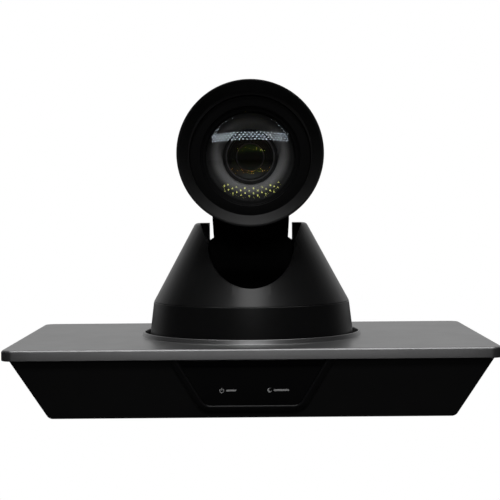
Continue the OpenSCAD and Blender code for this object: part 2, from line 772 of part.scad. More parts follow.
// The channel that the head's neck swings in, open to the front, the back and the top
module channel(extra) {
    centre = channel_z + channel_half;
    across_y(-80, 80) union() {
        translate([0, centre]) circle(r = channel_half + extra);
        translate([-channel_half - extra, centre]) square([channel_w + 2 * extra, 80]);
    }
}

// Wedges taken off the inner corners of the arms, so that the head can swing past them
module scoops(extra) {
    for (s = [-1, 1]) scale_x(s) for (side = [-1, 1]) {
        y0 = side > 0 ? scoop_y - extra : -80;
        across_y(y0, y0 + 80 - scoop_y + extra) polygon([
            [channel_half - 2, scoop_z - extra], [channel_half + extra * 0.4, scoop_z - extra],
            [channel_half + scoop_w * 1.5 + extra, crown_z + (crown_z - scoop_z) * 0.5],
            [channel_half - 2, crown_z + (crown_z - scoop_z) * 0.5]]);
    }
}

module yoke_shell() {
    color([0.06, 0.06, 0.065]) difference() {
        union() {
            difference() {
                rotate_extrude() polygon(crown_points(0));
                difference() {
                    translate([0, 0, -eps]) rotate_extrude() polygon(crown_points(shell_wall));
                    scoops(shell_wall);
                }
            }
            intersection() {
                rotate_extrude() polygon(crown_points(0.5));
                yoke_bosses(waist_z, yoke_boss_top);
            }
        }
        channel(0);
        scoops(0);
        for (a = yoke_screw_angles) rotate([0, 0, a]) translate([yoke_boss_at, 0, waist_z - 1])
            cylinder(r = 1.25, h = yoke_boss_top - waist_z - 1);
        tube(waist_r - shell_wall, waist_r - 2 * shell_wall - 1, waist_z - 1, waist_z + 2.6);
    }
}

// A wall that closes an arm towards the channel; hole_z lists the shafts that pass through it
module cheek() {
    low = waist_z - 15;
    difference() {
        intersection() {
            rotate_extrude() polygon(concat(
                [[0, low], [waist_r - 2 * shell_wall - 1, low], [waist_r - 2 * shell_wall - 1, waist_z + 3]],
                [for (p = crown_points(shell_wall + fit_gap)) if (p[1] > waist_z + 3) p]));
            box(cheek_x, cheek_x + cheek_t, -60, 60, low, crown_z);
        }
        scoops(shell_wall + fit_gap);
        disc_x(shaft_r + 0.6, 0, 60, 0, tilt_z);
    }
}

module left_cheek() {
    color([0.035, 0.035, 0.04]) mirror([1, 0, 0]) cheek();
}

module right_cheek() {
    color([0.035, 0.035, 0.04]) cheek();
}

module yoke_frame() {
    z0 = skirt_z;
    color([0.62, 0.63, 0.65]) difference() {
        union() {
            box(-upright_x - 12, upright_x + 12, -18, 18, z0, z0 + frame_t);
            for (s = [-1, 1]) scale_x(s) {
                box(upright_x, upright_x + frame_t, -upright_half_d, upright_half_d, z0, tilt_z);
                disc_x(upright_half_d, upright_x, upright_x + frame_t, 0, tilt_z);
            }
        }
        translate([0, 0, z0 - 1]) cylinder(r = cable_bore_r + 3, h = 10);
        disc_x(bush_r, -60, 60, 0, tilt_z);
        disc_x(3, 0, 60, 0, tilt_z - tilt_distance);
    }
}

module tilt_bushes() {
    x0 = upright_x - bush_flange_t;
    color([0.72, 0.55, 0.3]) for (s = [-1, 1]) scale_x(s) difference() {
        union() {
            disc_x(bush_flange_r, x0, upright_x, 0, tilt_z);
            disc_x(bush_r, upright_x - eps, upright_x + bush_len, 0, tilt_z);
        }
        disc_x(shaft_r + run_gap, x0 - 1, upright_x + bush_len + 1, 0, tilt_z);
    }
}

module tilt_motor() {
    x0 = upright_x + frame_t;
    z = tilt_z - tilt_distance;
    color([0.6, 0.6, 0.62]) difference() {
        disc_x(tilt_motor_r, x0, x0 + tilt_motor_len, 0, z);
        disc_x(motor_shaft_r + run_gap, x0 - 1, x0 + tilt_motor_len - 2, 0, z);
    }
}

module yoke_screws() {
    color([0.6, 0.6, 0.6]) for (a = yoke_screw_angles) rotate([0, 0, a])
        translate([yoke_boss_at, 0, gear_z + 0.2]) screw_up(2.3, 1.6, 1.2, waist_z - gear_z + 3);
}

module pan_pinion() {
    h = gear_h - 0.4;
    turn = 180 / pan_pinion_teeth * (pan_pinion_teeth % 2 == 0 ? 1 : 0);
    color([0.8, 0.65, 0.35]) translate([-pan_distance, 0, 0]) {
        translate([0, 0, gear_z - 0.1]) rotate([0, 0, turn + pan_mesh_turn()])
            linear_extrude(h) polygon(gear_points(pan_module, pan_pinion_teeth));
        translate([0, 0, bearing_z + 0.5]) cylinder(r = 2.5, h = gear_z - bearing_z);
    }
}
// A tooth of the pan gear points at the pinion when its tooth count is even, and a gap when it is odd
function pan_mesh_turn() = pan_teeth % 2 == 0 ? 0 : 180 / pan_pinion_teeth;

module tilt_pinion() {
    z = tilt_z - tilt_distance;
    color([0.8, 0.65, 0.35]) {
        translate([tilt_gear_x, 0, z]) rotate([0, 90, 0]) rotate([0, 0, tilt_mesh_turn()])
            linear_extrude(tilt_gear_t) polygon(gear_points(tilt_module, tilt_pinion_teeth));
        disc_x(motor_shaft_r, tilt_gear_x, upright_x + frame_t + tilt_motor_len - 2.4, 0, z);
    }
}
// In the tilt gears' own plane local +X points down; the pinion meets the gear straight above it
function tilt_mesh_turn() = (tilt_pinion_teeth % 2 == 0 ? 180 / tilt_pinion_teeth : 0);

// ---------------------------------------------------------------- tilting head

// The neck and its drum, moved in by a wall
module neck_body(inset) {
    half_d = neck_d / 2 - inset;
    top = head_z;
    intersection() {
        across_x(-drum_half + inset, drum_half - inset) union() {
            translate([0, tilt_z]) circle(r = drum_r - inset);
            translate([-half_d, tilt_z]) square([2 * half_d, top - tilt_z]);
        }
        across_y(-60, 60) polygon(neck_outline(inset));
    }
}
function neck_outline(inset) =
    let (shoulder = tilt_z + drum_r - inset)
    let (half = [[drum_half - inset, tilt_z - 40], [drum_half - inset, shoulder - 0.8],
        [drum_half - inset - 0.8, shoulder], [neck_foot_half - inset, shoulder + 0.6],
        [neck_half - inset, head_z - hood_r + 3], [neck_half - inset, head_z + 1]])
    concat(half, mirrored(half));

module neck_half_shell(front) {
    difference() {
        neck_body(0);
        neck_body(neck_wall);
        disc_y(barrel_r + fit_gap / 2, -80, 80, head_z);
        translate([-60, front ? 0 : -60, 0]) cube([120, 60, 200]);
        disc_x(shaft_r + fit_gap / 2, -60, 60, 0, tilt_z);
    }
}

module neck_front() {
    color([0.04, 0.04, 0.045]) neck_half_shell(true);
}

module neck_rear() {
    color([0.04, 0.04, 0.045]) neck_half_shell(false);
}

module tilt_shafts() {
    x_flange = drum_half - neck_wall - shaft_flange_t;
    color([0.7, 0.71, 0.73]) for (s = [-1, 1]) scale_x(s) difference() {
        union() {
            disc_x(shaft_flange_r, x_flange, x_flange + shaft_flange_t, 0, tilt_z);
            disc_x(shaft_r, x_flange, upright_x + bush_len, 0, tilt_z);
        }
        disc_x(2, x_flange - 1, 60, 0, tilt_z);
    }
}

module tilt_gear() {
    color([0.85, 0.84, 0.8]) difference() {
        translate([tilt_gear_x, 0, tilt_z]) rotate([0, 90, 0])
            linear_extrude(tilt_gear_t) polygon(gear_points(tilt_module, tilt_teeth));
        disc_x(shaft_r, tilt_gear_x - 1, tilt_gear_x + tilt_gear_t + 1, 0, tilt_z);
        for (a = [0:60:300]) rotate_about_tilt(a) disc_x(2.2, tilt_gear_x - 1, tilt_gear_x + 9, 0, tilt_z + 8.4);
    }
}

module rotate_about_tilt(a) {
    translate([0, 0, tilt_z]) rotate([a, 0, 0]) translate([0, 0, -tilt_z]) children();
}

module barrel_shell() {
    color([0.045, 0.045, 0.05]) difference() {
        disc_y(barrel_r, barrel_front_y, barrel_back_y, head_z);
        disc_y(barrel_r - head_wall, barrel_front_y - 1, barrel_back_y + 1, head_z);
        translate([0, 0, tilt_z]) cylinder(r = cable_bore_r + 1, h = head_z - tilt_z);
    }
}

function rear_points(inset) =
    let (r = 9 - inset)
    let (back = head_back - inset)
    concat([[0, barrel_back_y], [barrel_r - inset, barrel_back_y]],
        arc([barrel_r - inset - r, back - r], r, 0, 90), [[0, back]]);

module rear_shell() {
    color([0.045, 0.045, 0.05]) difference() {
        turned_y(head_z) polygon(rear_points(0));
        translate([0, -eps, 0]) turned_y(head_z) polygon(rear_points(head_wall));
        for (i = [-3:3]) box(-14, 14, head_back - 6, head_back + 1, head_z + i * 4.4 - 0.8, head_z + i * 4.4 + 0.8);
    }
}

module hood() {
    front = -hood_y;
    color([0.05, 0.05, 0.055]) difference() {
        turned_y(head_z) polygon(concat(
            [[0, front]], arc([hood_r - 0.7, front + 0.7], 0.7, -90, 0),
            [[hood_r, hood_back_y - 4], [hood_r - 3.1, hood_back_y], [0, hood_back_y]]));
        // Funnel at the mouth, then the seats of the ring and of the glass on the lens axis
        turned_y(head_z) polygon([[0, front - 1], [rim_r + 0.2, front - 0.2], [rim_r, front],
            [throat_r, front + rim_depth], [0, front + rim_depth]]);
        disc_y(ring_r + 0.2, front + rim_depth - 2, glass_y, optic_z);
        disc_y(glass_seat_r + fit_gap, glass_y - 1, barrel_front_y + 1, optic_z);
        // Pocket that keeps the hood's wall even, and the sleeve over the barrel
        difference() {
            disc_y(hood_r - head_wall, glass_y + 1.5, barrel_front_y + 1, head_z);
            disc_y(glass_seat_r + head_wall, glass_y, barrel_front_y, optic_z);
        }
        disc_y(barrel_r + fit_gap / 2, barrel_front_y, hood_back_y + 1, head_z);
    }
}

module retaining_ring() {
    color([0.03, 0.03, 0.03]) difference() {
        disc_y(ring_r, ring_y, ring_y + ring_t - fit_gap, optic_z);
        turned_y(optic_z) polygon([[0, ring_y - 1], [glass_r + 1.4, ring_y - 1], [glass_r + 0.6, ring_y + 0.2],
            [glass_r, ring_y + ring_t], [0, ring_y + ring_t]]);
        for (a = ring_screw_angles) ring_place(a) disc_y(0.8, ring_y - 1, ring_y + 1.4, 0);
    }
}
ring_screw_angles = [30, 90, 150, 210, 270, 330];

module ring_place(a) {
    p = polar((ring_r + glass_r) / 2 - 0.3, a);
    translate([p[0], 0, optic_z + p[1]]) children();
}

module ring_screws() {
    color([0.5, 0.5, 0.5]) for (a = ring_screw_angles) ring_place(a) disc_y(0.75, ring_y + 0.1, ring_y + 1.3, 0);
}

module window_glass() {
    apex = glass_y - glass_sag;
    color([0.6, 0.7, 0.75, 0.35]) union() {
        disc_y(glass_seat_r, glass_y, glass_y + glass_edge_t, optic_z);
        turned_y(optic_z) polygon(concat(
            [[0, glass_y + 0.5]],
            [for (i = [0:10]) let (a = asin((glass_r - fit_gap) / glass_curve) * i / 10)
                [glass_curve * sin(a), apex + fit_gap + glass_curve * (1 - cos(a))]],
            [[glass_r - fit_gap, glass_y + 0.5]]));
    }
}

module lens_cone() {
    r0 = glass_seat_r - 0.2;
    y1 = cone_y + cone_depth;
    color([0.33, 0.33, 0.34]) turned_y(optic_z) polygon([
        [glass_r, cone_y + 0.1], [r0, cone_y + 0.1], [r0, cone_y + 2.2], [glass_r + 0.4, cone_y + 2.2],
        [lens_r + 1.6, y1 + cone_wall], [lens_r + 0.15, y1 + cone_wall], [lens_r + 0.15, y1]]);
}

module lens_barrel() {
    color([0.18, 0.18, 0.19]) difference() {
        union() {
            disc_y(lens_r, lens_front_y, lens_body_y + 1, optic_z);
            disc_y(lens_body_r, lens_body_y, lens_back_y, optic_z);
            disc_y(barrel_r - head_wall - fit_gap, lens_body_y, lens_body_y + 2, head_z);
        }
        disc_y(element_r + lens_fit, lens_front_y - 1, lens_front_y + element_t + 1.2, optic_z);
        disc_y(element_r - 1.2, lens_front_y, lens_body_y + 2, optic_z);
        disc_y(lens_bore_r, lens_body_y + 2, lens_back_y - 2, optic_z);
        disc_y(focus_lens_r, lens_back_y - 3, lens_back_y + 1, optic_z);
        for (s = [-1, 1]) disc_y(rod_r, lens_body_y + 0.5, lens_back_y + 1, optic_z + s * rod_at);
    }
}

// A lens with one bulging face, edge_t thick at its rim
module lens(r, y0, bulge, edge_t) {
    curve = (r * r + bulge * bulge) / (2 * bulge);
    turned_y(optic_z) polygon(concat(
        [for (i = [0:8]) let (a = asin(r / curve) * i / 8) [curve * sin(a), y0 + curve * (1 - cos(a))]],
        [[r, y0 + bulge + edge_t], [0, y0 + bulge + edge_t]]));
}

module front_element() {
    color([0.35, 0.42, 0.4, 0.5]) lens(element_r, lens_front_y + 0.8, 2.4, element_t - 2.6);
}

module guide_rods() {
    color([0.8, 0.81, 0.83]) for (s = [-1, 1])
        disc_y(rod_r - 0.02, lens_body_y + 0.5, lens_back_y, optic_z + s * rod_at);
}

module sensor_board() {
    color([0.04, 0.3, 0.15]) box(-15, 15, lens_back_y + 1.4, lens_back_y + 3, optic_z - 15, optic_z + 15);
    color([0.1, 0.1, 0.12]) box(-4, 4, lens_back_y + 0.1, lens_back_y + 1.4 + eps, optic_z - 3, optic_z + 3);
    for (p = corners(12, 12)) color([0.7, 0.6, 0.4])
        disc_y(1.6, lens_back_y, lens_back_y + 1.4 + eps, optic_z + p[1], p[0]);
}

module lens_cell(y0, length, r_in) {
    difference() {
        union() {
            disc_y(cell_r, y0, y0 + length, optic_z);
            for (s = [-1, 1]) disc_y(rod_r + 0.85, y0 - 1, y0 + length + 1, optic_z + s * (rod_at - 0.1));
        }
        disc_y(r_in, y0 - 2, y0 + length + 2, optic_z);
        for (s = [-1, 1]) disc_y(rod_r + run_gap, y0 - 2, y0 + length + 2, optic_z + s * rod_at);
    }
}

module zoom_cell() {
    color([0.1, 0.1, 0.11]) lens_cell(zoom_y, cell_len, zoom_lens_r + lens_fit);
}

module zoom_lens() {
    color([0.5, 0.6, 0.6, 0.5]) lens(zoom_lens_r, zoom_y + 0.4, 1.4, 2.2);
}

module focus_cell() {
    color([0.1, 0.1, 0.11]) lens_cell(focus_y, focus_cell_len, focus_lens_r + lens_fit);
}

module focus_lens() {
    color([0.5, 0.6, 0.6, 0.5]) lens(focus_lens_r, focus_y + 0.4, 1, 1.6);
}

base_tray();
top_plate();
window_bezel();
front_window();
indicator_board();
indicator_leds();
ir_receivers();
rear_panel();
power_socket();
hdmi_socket();
usb_socket();
network_socket();
serial_sockets();
audio_socket();
main_board();
board_chips();
board_screws();
pan_frame();
pan_bearing_outer();
pan_bearing_balls();
pan_motor();
tripod_bush();
rubber_feet();
base_screws();
panel_screws();
frame_screws();
turntable();
pan_gear();
pan_bearing_inner();
pan_retainer();
skirt_ring();
yoke_shell();
left_cheek();
right_cheek();
yoke_frame();
tilt_bushes();
tilt_motor();
yoke_screws();
pan_pinion();
tilt_pinion();
neck_front();
neck_rear();
tilt_shafts();
tilt_gear();
barrel_shell();
rear_shell();
hood();
retaining_ring();
ring_screws();
window_glass();
lens_cone();
lens_barrel();
front_element();
guide_rods();
sensor_board();
zoom_cell();
zoom_lens();
focus_cell();
focus_lens();
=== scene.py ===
"""The finished look of a pan, tilt and zoom conference camera: a flat base, a conical yoke and a round head.

Every class stands for one sub-assembly. Its fields are sizes in millimetres, and its methods build the
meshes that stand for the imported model's plain nodes and dress the nodes that stay.
"""
import json
import logging
import math
from dataclasses import dataclass
from enum import Enum
from typing import Iterable, Sequence

import bmesh
import bpy
from mathutils import Matrix, Vector


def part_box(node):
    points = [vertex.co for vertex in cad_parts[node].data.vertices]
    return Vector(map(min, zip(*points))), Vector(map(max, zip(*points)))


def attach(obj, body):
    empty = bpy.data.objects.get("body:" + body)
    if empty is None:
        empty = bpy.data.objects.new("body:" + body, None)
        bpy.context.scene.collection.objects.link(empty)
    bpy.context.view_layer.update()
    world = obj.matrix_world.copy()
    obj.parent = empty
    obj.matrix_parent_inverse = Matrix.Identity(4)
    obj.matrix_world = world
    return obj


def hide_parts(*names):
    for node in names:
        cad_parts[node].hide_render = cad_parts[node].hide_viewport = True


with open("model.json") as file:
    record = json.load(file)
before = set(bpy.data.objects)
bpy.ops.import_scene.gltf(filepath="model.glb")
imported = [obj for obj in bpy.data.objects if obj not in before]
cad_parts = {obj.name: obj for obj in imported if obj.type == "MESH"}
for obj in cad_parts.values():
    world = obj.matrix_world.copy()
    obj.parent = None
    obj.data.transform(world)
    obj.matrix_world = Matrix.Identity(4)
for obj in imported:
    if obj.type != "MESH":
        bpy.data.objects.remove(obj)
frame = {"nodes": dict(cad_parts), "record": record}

LOG = logging.getLogger("conference_camera")
MM = 0.001
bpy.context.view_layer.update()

Point2 = tuple[float, float]
Point3 = tuple[float, float, float]
NO_TURN: Point3 = (0.0, 0.0, 0.0)


# --------------------------------------------------------------------------------------------- finishes


class Grain(Enum):
    """How a surface is textured at close range."""

    SPARK = "spark-eroded moulding"
    SATIN = "fine satin coat"
    BRUSHED = "brushed metal"
    POLISHED = "polished"


@dataclass(frozen=True)
class Finish:
    """One surface finish: its colour, its gloss and the detail of its grain.

    The grain's size and depth are in millimetres and the film in nanometres. A rim shade is painted shade: it
    darkens the
    colour round a line from front to back: the line's height, and the radii where it begins and ends, in
    millimetres.
    """

    name: str
    colour: Point3
    roughness: float
    metallic: float = 0.0
    grain: Grain = Grain.SPARK
    grain_size: float = 0.35
    grain_depth: float = 0.012
    mottle: float = 0.12
    smudge: float = 0.08
    # Paler edges: rubbed paint, and on the cover plate partly a painted highlight.
    wear_and_highlight: float = 0.0
    coat: float = 0.0
    coat_roughness: float = 0.03
    coat_ior: float = 1.5
    specular: float = 0.5
    transmission: float = 0.0
    ior: float = 1.5
    film: float = 0.0
    # Painted shade: darkens the colour outwards from a front-to-back line.
    rim_shade: tuple[float, float, float] | None = None

    def material(self) -> bpy.types.Material:
        """Builds the finish once and returns it afterwards.

        Returns:
            The Blender material of this finish.
        """
        ready = bpy.data.materials.get(self.name)
        return ready or self._build()

    def _build(self) -> bpy.types.Material:
        """Makes the node tree: plain values on the Principled BSDF, and what varies from shared groups.

        Returns:
            The new material.
        """
        material = bpy.data.materials.new(self.name)
        material.use_nodes = True
        tree = material.node_tree
        shader = tree.nodes["Principled BSDF"]
        feed(tree, shader, {
            "Base Color": (*self.colour, 1.0), "Roughness": self.roughness, "Metallic": self.metallic,
            "Specular IOR Level": self.specular, "Coat Weight": self.coat, "Coat IOR": self.coat_ior,
            "Coat Roughness": self.coat_roughness, "Transmission Weight": self.transmission, "IOR": self.ior,
            "Thin Film Thickness": self.film})
        place = add(tree, "ShaderNodeTexCoord").outputs["Object"]
        brushed = self.grain is Grain.BRUSHED
        # Mottle, and paler edges that are rubbed paint and, on the cover plate, partly a painted highlight.
        if self.mottle or self.wear_and_highlight:
            colour = group_node(tree, surface_tone_group(), {
                "Vector": place, "Colour": (*self.colour, 1.0), "Mottle": self.mottle, "Wear": self.wear_and_highlight})
            # Painted shade, darker towards the funnel's rim.
            if self.rim_shade:
                axis, inner, outer = (size * MM for size in self.rim_shade)
                colour = group_node(tree, painted_rim_shade_group(), {
                    "Vector": place, "Colour": colour.outputs["Colour"], "Axis height": axis, "Inner": inner,
                    "Outer": outer})
            tree.links.new(colour.outputs["Colour"], shader.inputs["Base Color"])
        if self.smudge:
            sheen = group_node(tree, surface_gloss_group(), {
                "Vector": place, "Roughness": self.roughness, "Smudge": self.smudge,
                "Streak": 1.0 if brushed else 0.0})
            tree.links.new(sheen.outputs["Roughness"], shader.inputs["Roughness"])
        if self.grain_depth:
            relief = group_node(tree, surface_grain_group(), {
                "Vector": place, "Size": self.grain_size, "Stretch": 24.0 if brushed else 1.0})
            bump = add(tree, "ShaderNodeBump", {
                "Height": relief.outputs["Height"], "Strength": 1.0, "Distance": self.grain_depth * MM})
            tree.links.new(bump.outputs["Normal"], shader.inputs["Normal"])
        return material


def new_group(name: str, inputs: dict[str, tuple[str, object]], outputs: dict[str, str],
              kind: str = "ShaderNodeTree") -> tuple[bpy.types.NodeTree, bpy.types.Node, bpy.types.Node]:
    """Makes an empty node group with named sockets.

    Args:
        name: the group's name.
        inputs: each input's socket type and starting value (None for a vector or geometry).
        outputs: each output's socket type.
        kind: the tree's type.

    Returns:
        The tree, its input node and its output node.
    """
    tree = bpy.data.node_groups.new(name, kind)
    for label, (socket_type, value) in inputs.items():
        socket = tree.interface.new_socket(label, in_out="INPUT", socket_type=socket_type)
        if value is not None:
            socket.default_value = value
    for label, socket_type in outputs.items():
        tree.interface.new_socket(label, in_out="OUTPUT", socket_type=socket_type)
    return tree, tree.nodes.new("NodeGroupInput"), tree.nodes.new("NodeGroupOutput")


def feed(tree: bpy.types.NodeTree, node: bpy.types.Node, inputs: dict[object, object]) -> None:
    """Links output sockets to a node's inputs and sets plain values on them.

    Args:
        tree: the node's tree.
        node: the node to feed.
        inputs: a value or an output socket for each input, by its name or its number.
    """
    for key, value in inputs.items():
        if isinstance(value, bpy.types.NodeSocket):
            tree.links.new(value, node.inputs[key])
        else:
            node.inputs[key].default_value = value


def add(tree: bpy.types.NodeTree, kind: str, inputs: dict[object, object] | None = None,
        **settings: object) -> bpy.types.Node:
    """Adds one node with its settings and inputs.

    Args:
        tree: the tree to add to.
        kind: the node's type.
        inputs: values or sockets for its inputs.
        settings: properties of the node itself.

    Returns:
        The new node.
    """
    node = tree.nodes.new(kind)
    for key, value in settings.items():
        setattr(node, key, value)
    feed(tree, node, inputs or {})
    return node


def group_node(tree: bpy.types.NodeTree, group: bpy.types.NodeTree,
               inputs: dict[str, object]) -> bpy.types.Node:
    """Places a shader group in a material and sets or links its inputs."""
    return add(tree, "ShaderNodeGroup", inputs, node_tree=group)


def maths(tree: bpy.types.NodeTree, operation: str, *values: object) -> bpy.types.NodeSocket:
    """Adds a Math node for some values or sockets and returns its result."""
    return add(tree, "ShaderNodeMath", dict(enumerate(values)), operation=operation).outputs[0]


def vector_maths(tree: bpy.types.NodeTree, operation: str, *values: object) -> bpy.types.Node:
    """Adds a Vector Math node for one or two vectors."""
    return add(tree, "ShaderNodeVectorMath", dict(enumerate(values)), operation=operation)


def surface_grain_group() -> bpy.types.NodeTree:
    """The fine relief of a moulded or brushed surface, as a height from 0 to 1.

    Returns:
        The shared group.
    """
    name = "Surface grain"
    if name in bpy.data.node_groups:
        return bpy.data.node_groups[name]
    tree, source, sink = new_group(name, {
        "Vector": ("NodeSocketVector", None), "Size": ("NodeSocketFloat", 0.35),
        "Stretch": ("NodeSocketFloat", 1.0)}, {"Height": "NodeSocketFloat"})
    given = source.outputs
    along = add(tree, "ShaderNodeCombineXYZ", {0: 1.0, 1: given["Stretch"], 2: given["Stretch"]})
    place = vector_maths(tree, "MULTIPLY", given["Vector"], along.outputs[0]).outputs[0]
    scale = maths(tree, "DIVIDE", 1000.0, given["Size"])
    coarse = add(tree, "ShaderNodeTexNoise", {"Vector": place, "Scale": scale, "Detail": 2.0,
                                              "Roughness": 0.6})
    cells = add(tree, "ShaderNodeTexVoronoi", {"Vector": place, "Scale": scale})
    both = maths(tree, "MULTIPLY", coarse.outputs["Fac"], cells.outputs["Distance"])
    tree.links.new(both, sink.inputs["Height"])
    return tree


def surface_tone_group() -> bpy.types.NodeTree:
    """Uneven colour over a surface, and paler paint at its edges: rubbed paint, and on the cover plate partly
    a painted highlight along its rolled edge.

    Returns:
        The shared group.
    """
    name = "Surface tone"
    if name in bpy.data.node_groups:
        return bpy.data.node_groups[name]
    tree, source, sink = new_group(name, {
        "Vector": ("NodeSocketVector", None), "Colour": ("NodeSocketColor", (0.5, 0.5, 0.5, 1.0)),
        "Mottle": ("NodeSocketFloat", 0.1), "Wear": ("NodeSocketFloat", 0.0)},
        {"Colour": "NodeSocketColor"})
    given = source.outputs
    cloud = add(tree, "ShaderNodeTexNoise", {"Vector": given["Vector"], "Scale": 38.0, "Detail": 4.0})
    fleck = add(tree, "ShaderNodeTexNoise", {"Vector": given["Vector"], "Scale": 2600.0, "Detail": 1.0})
    spread = maths(tree, "ADD", cloud.outputs["Fac"], fleck.outputs["Fac"])
    shift = maths(tree, "SUBTRACT", spread, 1.0)
    amount = maths(tree, "MULTIPLY_ADD", shift, given["Mottle"], 1.0)
    toned = vector_maths(tree, "SCALE", given["Colour"])
    tree.links.new(amount, toned.inputs["Scale"])
    # Edge mask for paler paint: rubbed edges, and on the cover plate partly a painted highlight along the
    # rolled edge.
    soft = add(tree, "ShaderNodeBevel", {"Radius": 0.4 * MM}, samples=4)
    geometry = add(tree, "ShaderNodeNewGeometry")
    facing = vector_maths(tree, "DOT_PRODUCT", soft.outputs[0], geometry.outputs["Normal"])
    edge = add(tree, "ShaderNodeMapRange", {"Value": facing.outputs["Value"], "From Min": 0.995,
                                            "From Max": 0.93, "To Min": 0.0, "To Max": 1.0})
    worn_and_lit = maths(tree, "MULTIPLY", edge.outputs["Result"], given["Wear"])
    broken = maths(tree, "MULTIPLY", worn_and_lit, cloud.outputs["Fac"])
    pale = add(tree, "ShaderNodeMix", {0: broken, 6: toned.outputs[0], 7: (0.75, 0.75, 0.76, 1.0)},
               data_type="RGBA")
    tree.links.new(pale.outputs[2], sink.inputs["Colour"])
    return tree


def painted_rim_shade_group() -> bpy.types.NodeTree:
    """Paints shade on a surface: darker outwards from a line that runs front to back, for the shade on the
    funnel's outer part.

    Returns:
        The shared group.
    """
    name = "Round fade"
    if name in bpy.data.node_groups:
        return bpy.data.node_groups[name]
    tree, source, sink = new_group(name, {
        "Vector": ("NodeSocketVector", None), "Colour": ("NodeSocketColor", (0.5, 0.5, 0.5, 1.0)),
        "Axis height": ("NodeSocketFloat", 0.0), "Inner": ("NodeSocketFloat", 0.01),
        "Outer": ("NodeSocketFloat", 0.02)}, {"Colour": "NodeSocketColor"})
    given = source.outputs
    parts = add(tree, "ShaderNodeSeparateXYZ", {0: given["Vector"]})
    up = maths(tree, "SUBTRACT", parts.outputs["Z"], given["Axis height"])
    across = add(tree, "ShaderNodeCombineXYZ", {0: parts.outputs["X"], 1: up})
    reach = vector_maths(tree, "LENGTH", across.outputs[0])
    share = add(tree, "ShaderNodeMapRange", {
        "Value": reach.outputs["Value"], "From Min": given["Inner"], "From Max": given["Outer"],
        "To Min": 1.0, "To Max": 0.06}, interpolation_type="SMOOTHSTEP")
    shaded = vector_maths(tree, "SCALE", given["Colour"])
    tree.links.new(share.outputs["Result"], shaded.inputs["Scale"])
    tree.links.new(shaded.outputs[0], sink.inputs["Colour"])
    return tree


def surface_gloss_group() -> bpy.types.NodeTree:
    """Roughness with faint smudges and, on brushed metal, streaks along the width.

    Returns:
        The shared group.
    """
    name = "Surface gloss"
    if name in bpy.data.node_groups:
        return bpy.data.node_groups[name]
    tree, source, sink = new_group(name, {
        "Vector": ("NodeSocketVector", None), "Roughness": ("NodeSocketFloat", 0.5),
        "Smudge": ("NodeSocketFloat", 0.1), "Streak": ("NodeSocketFloat", 0.0)},
        {"Roughness": "NodeSocketFloat"})
    given = source.outputs
    marks = add(tree, "ShaderNodeTexNoise", {"Vector": given["Vector"], "Scale": 55.0, "Detail": 5.0,
                                             "Distortion": 0.6})
    stretched = vector_maths(tree, "MULTIPLY", given["Vector"], (40.0, 2400.0, 2400.0))
    streaks = add(tree, "ShaderNodeTexNoise", {"Vector": stretched.outputs[0], "Scale": 1.0,
                                               "Detail": 2.0})
    mixed = add(tree, "ShaderNodeMix", {0: given["Streak"], 2: marks.outputs["Fac"],
                                        3: streaks.outputs["Fac"]}, data_type="FLOAT")
    shift = maths(tree, "SUBTRACT", mixed.outputs[0], 0.5)
    value = maths(tree, "MULTIPLY_ADD", shift, given["Smudge"], given["Roughness"])
    tree.links.new(value, sink.inputs["Roughness"])
    return tree


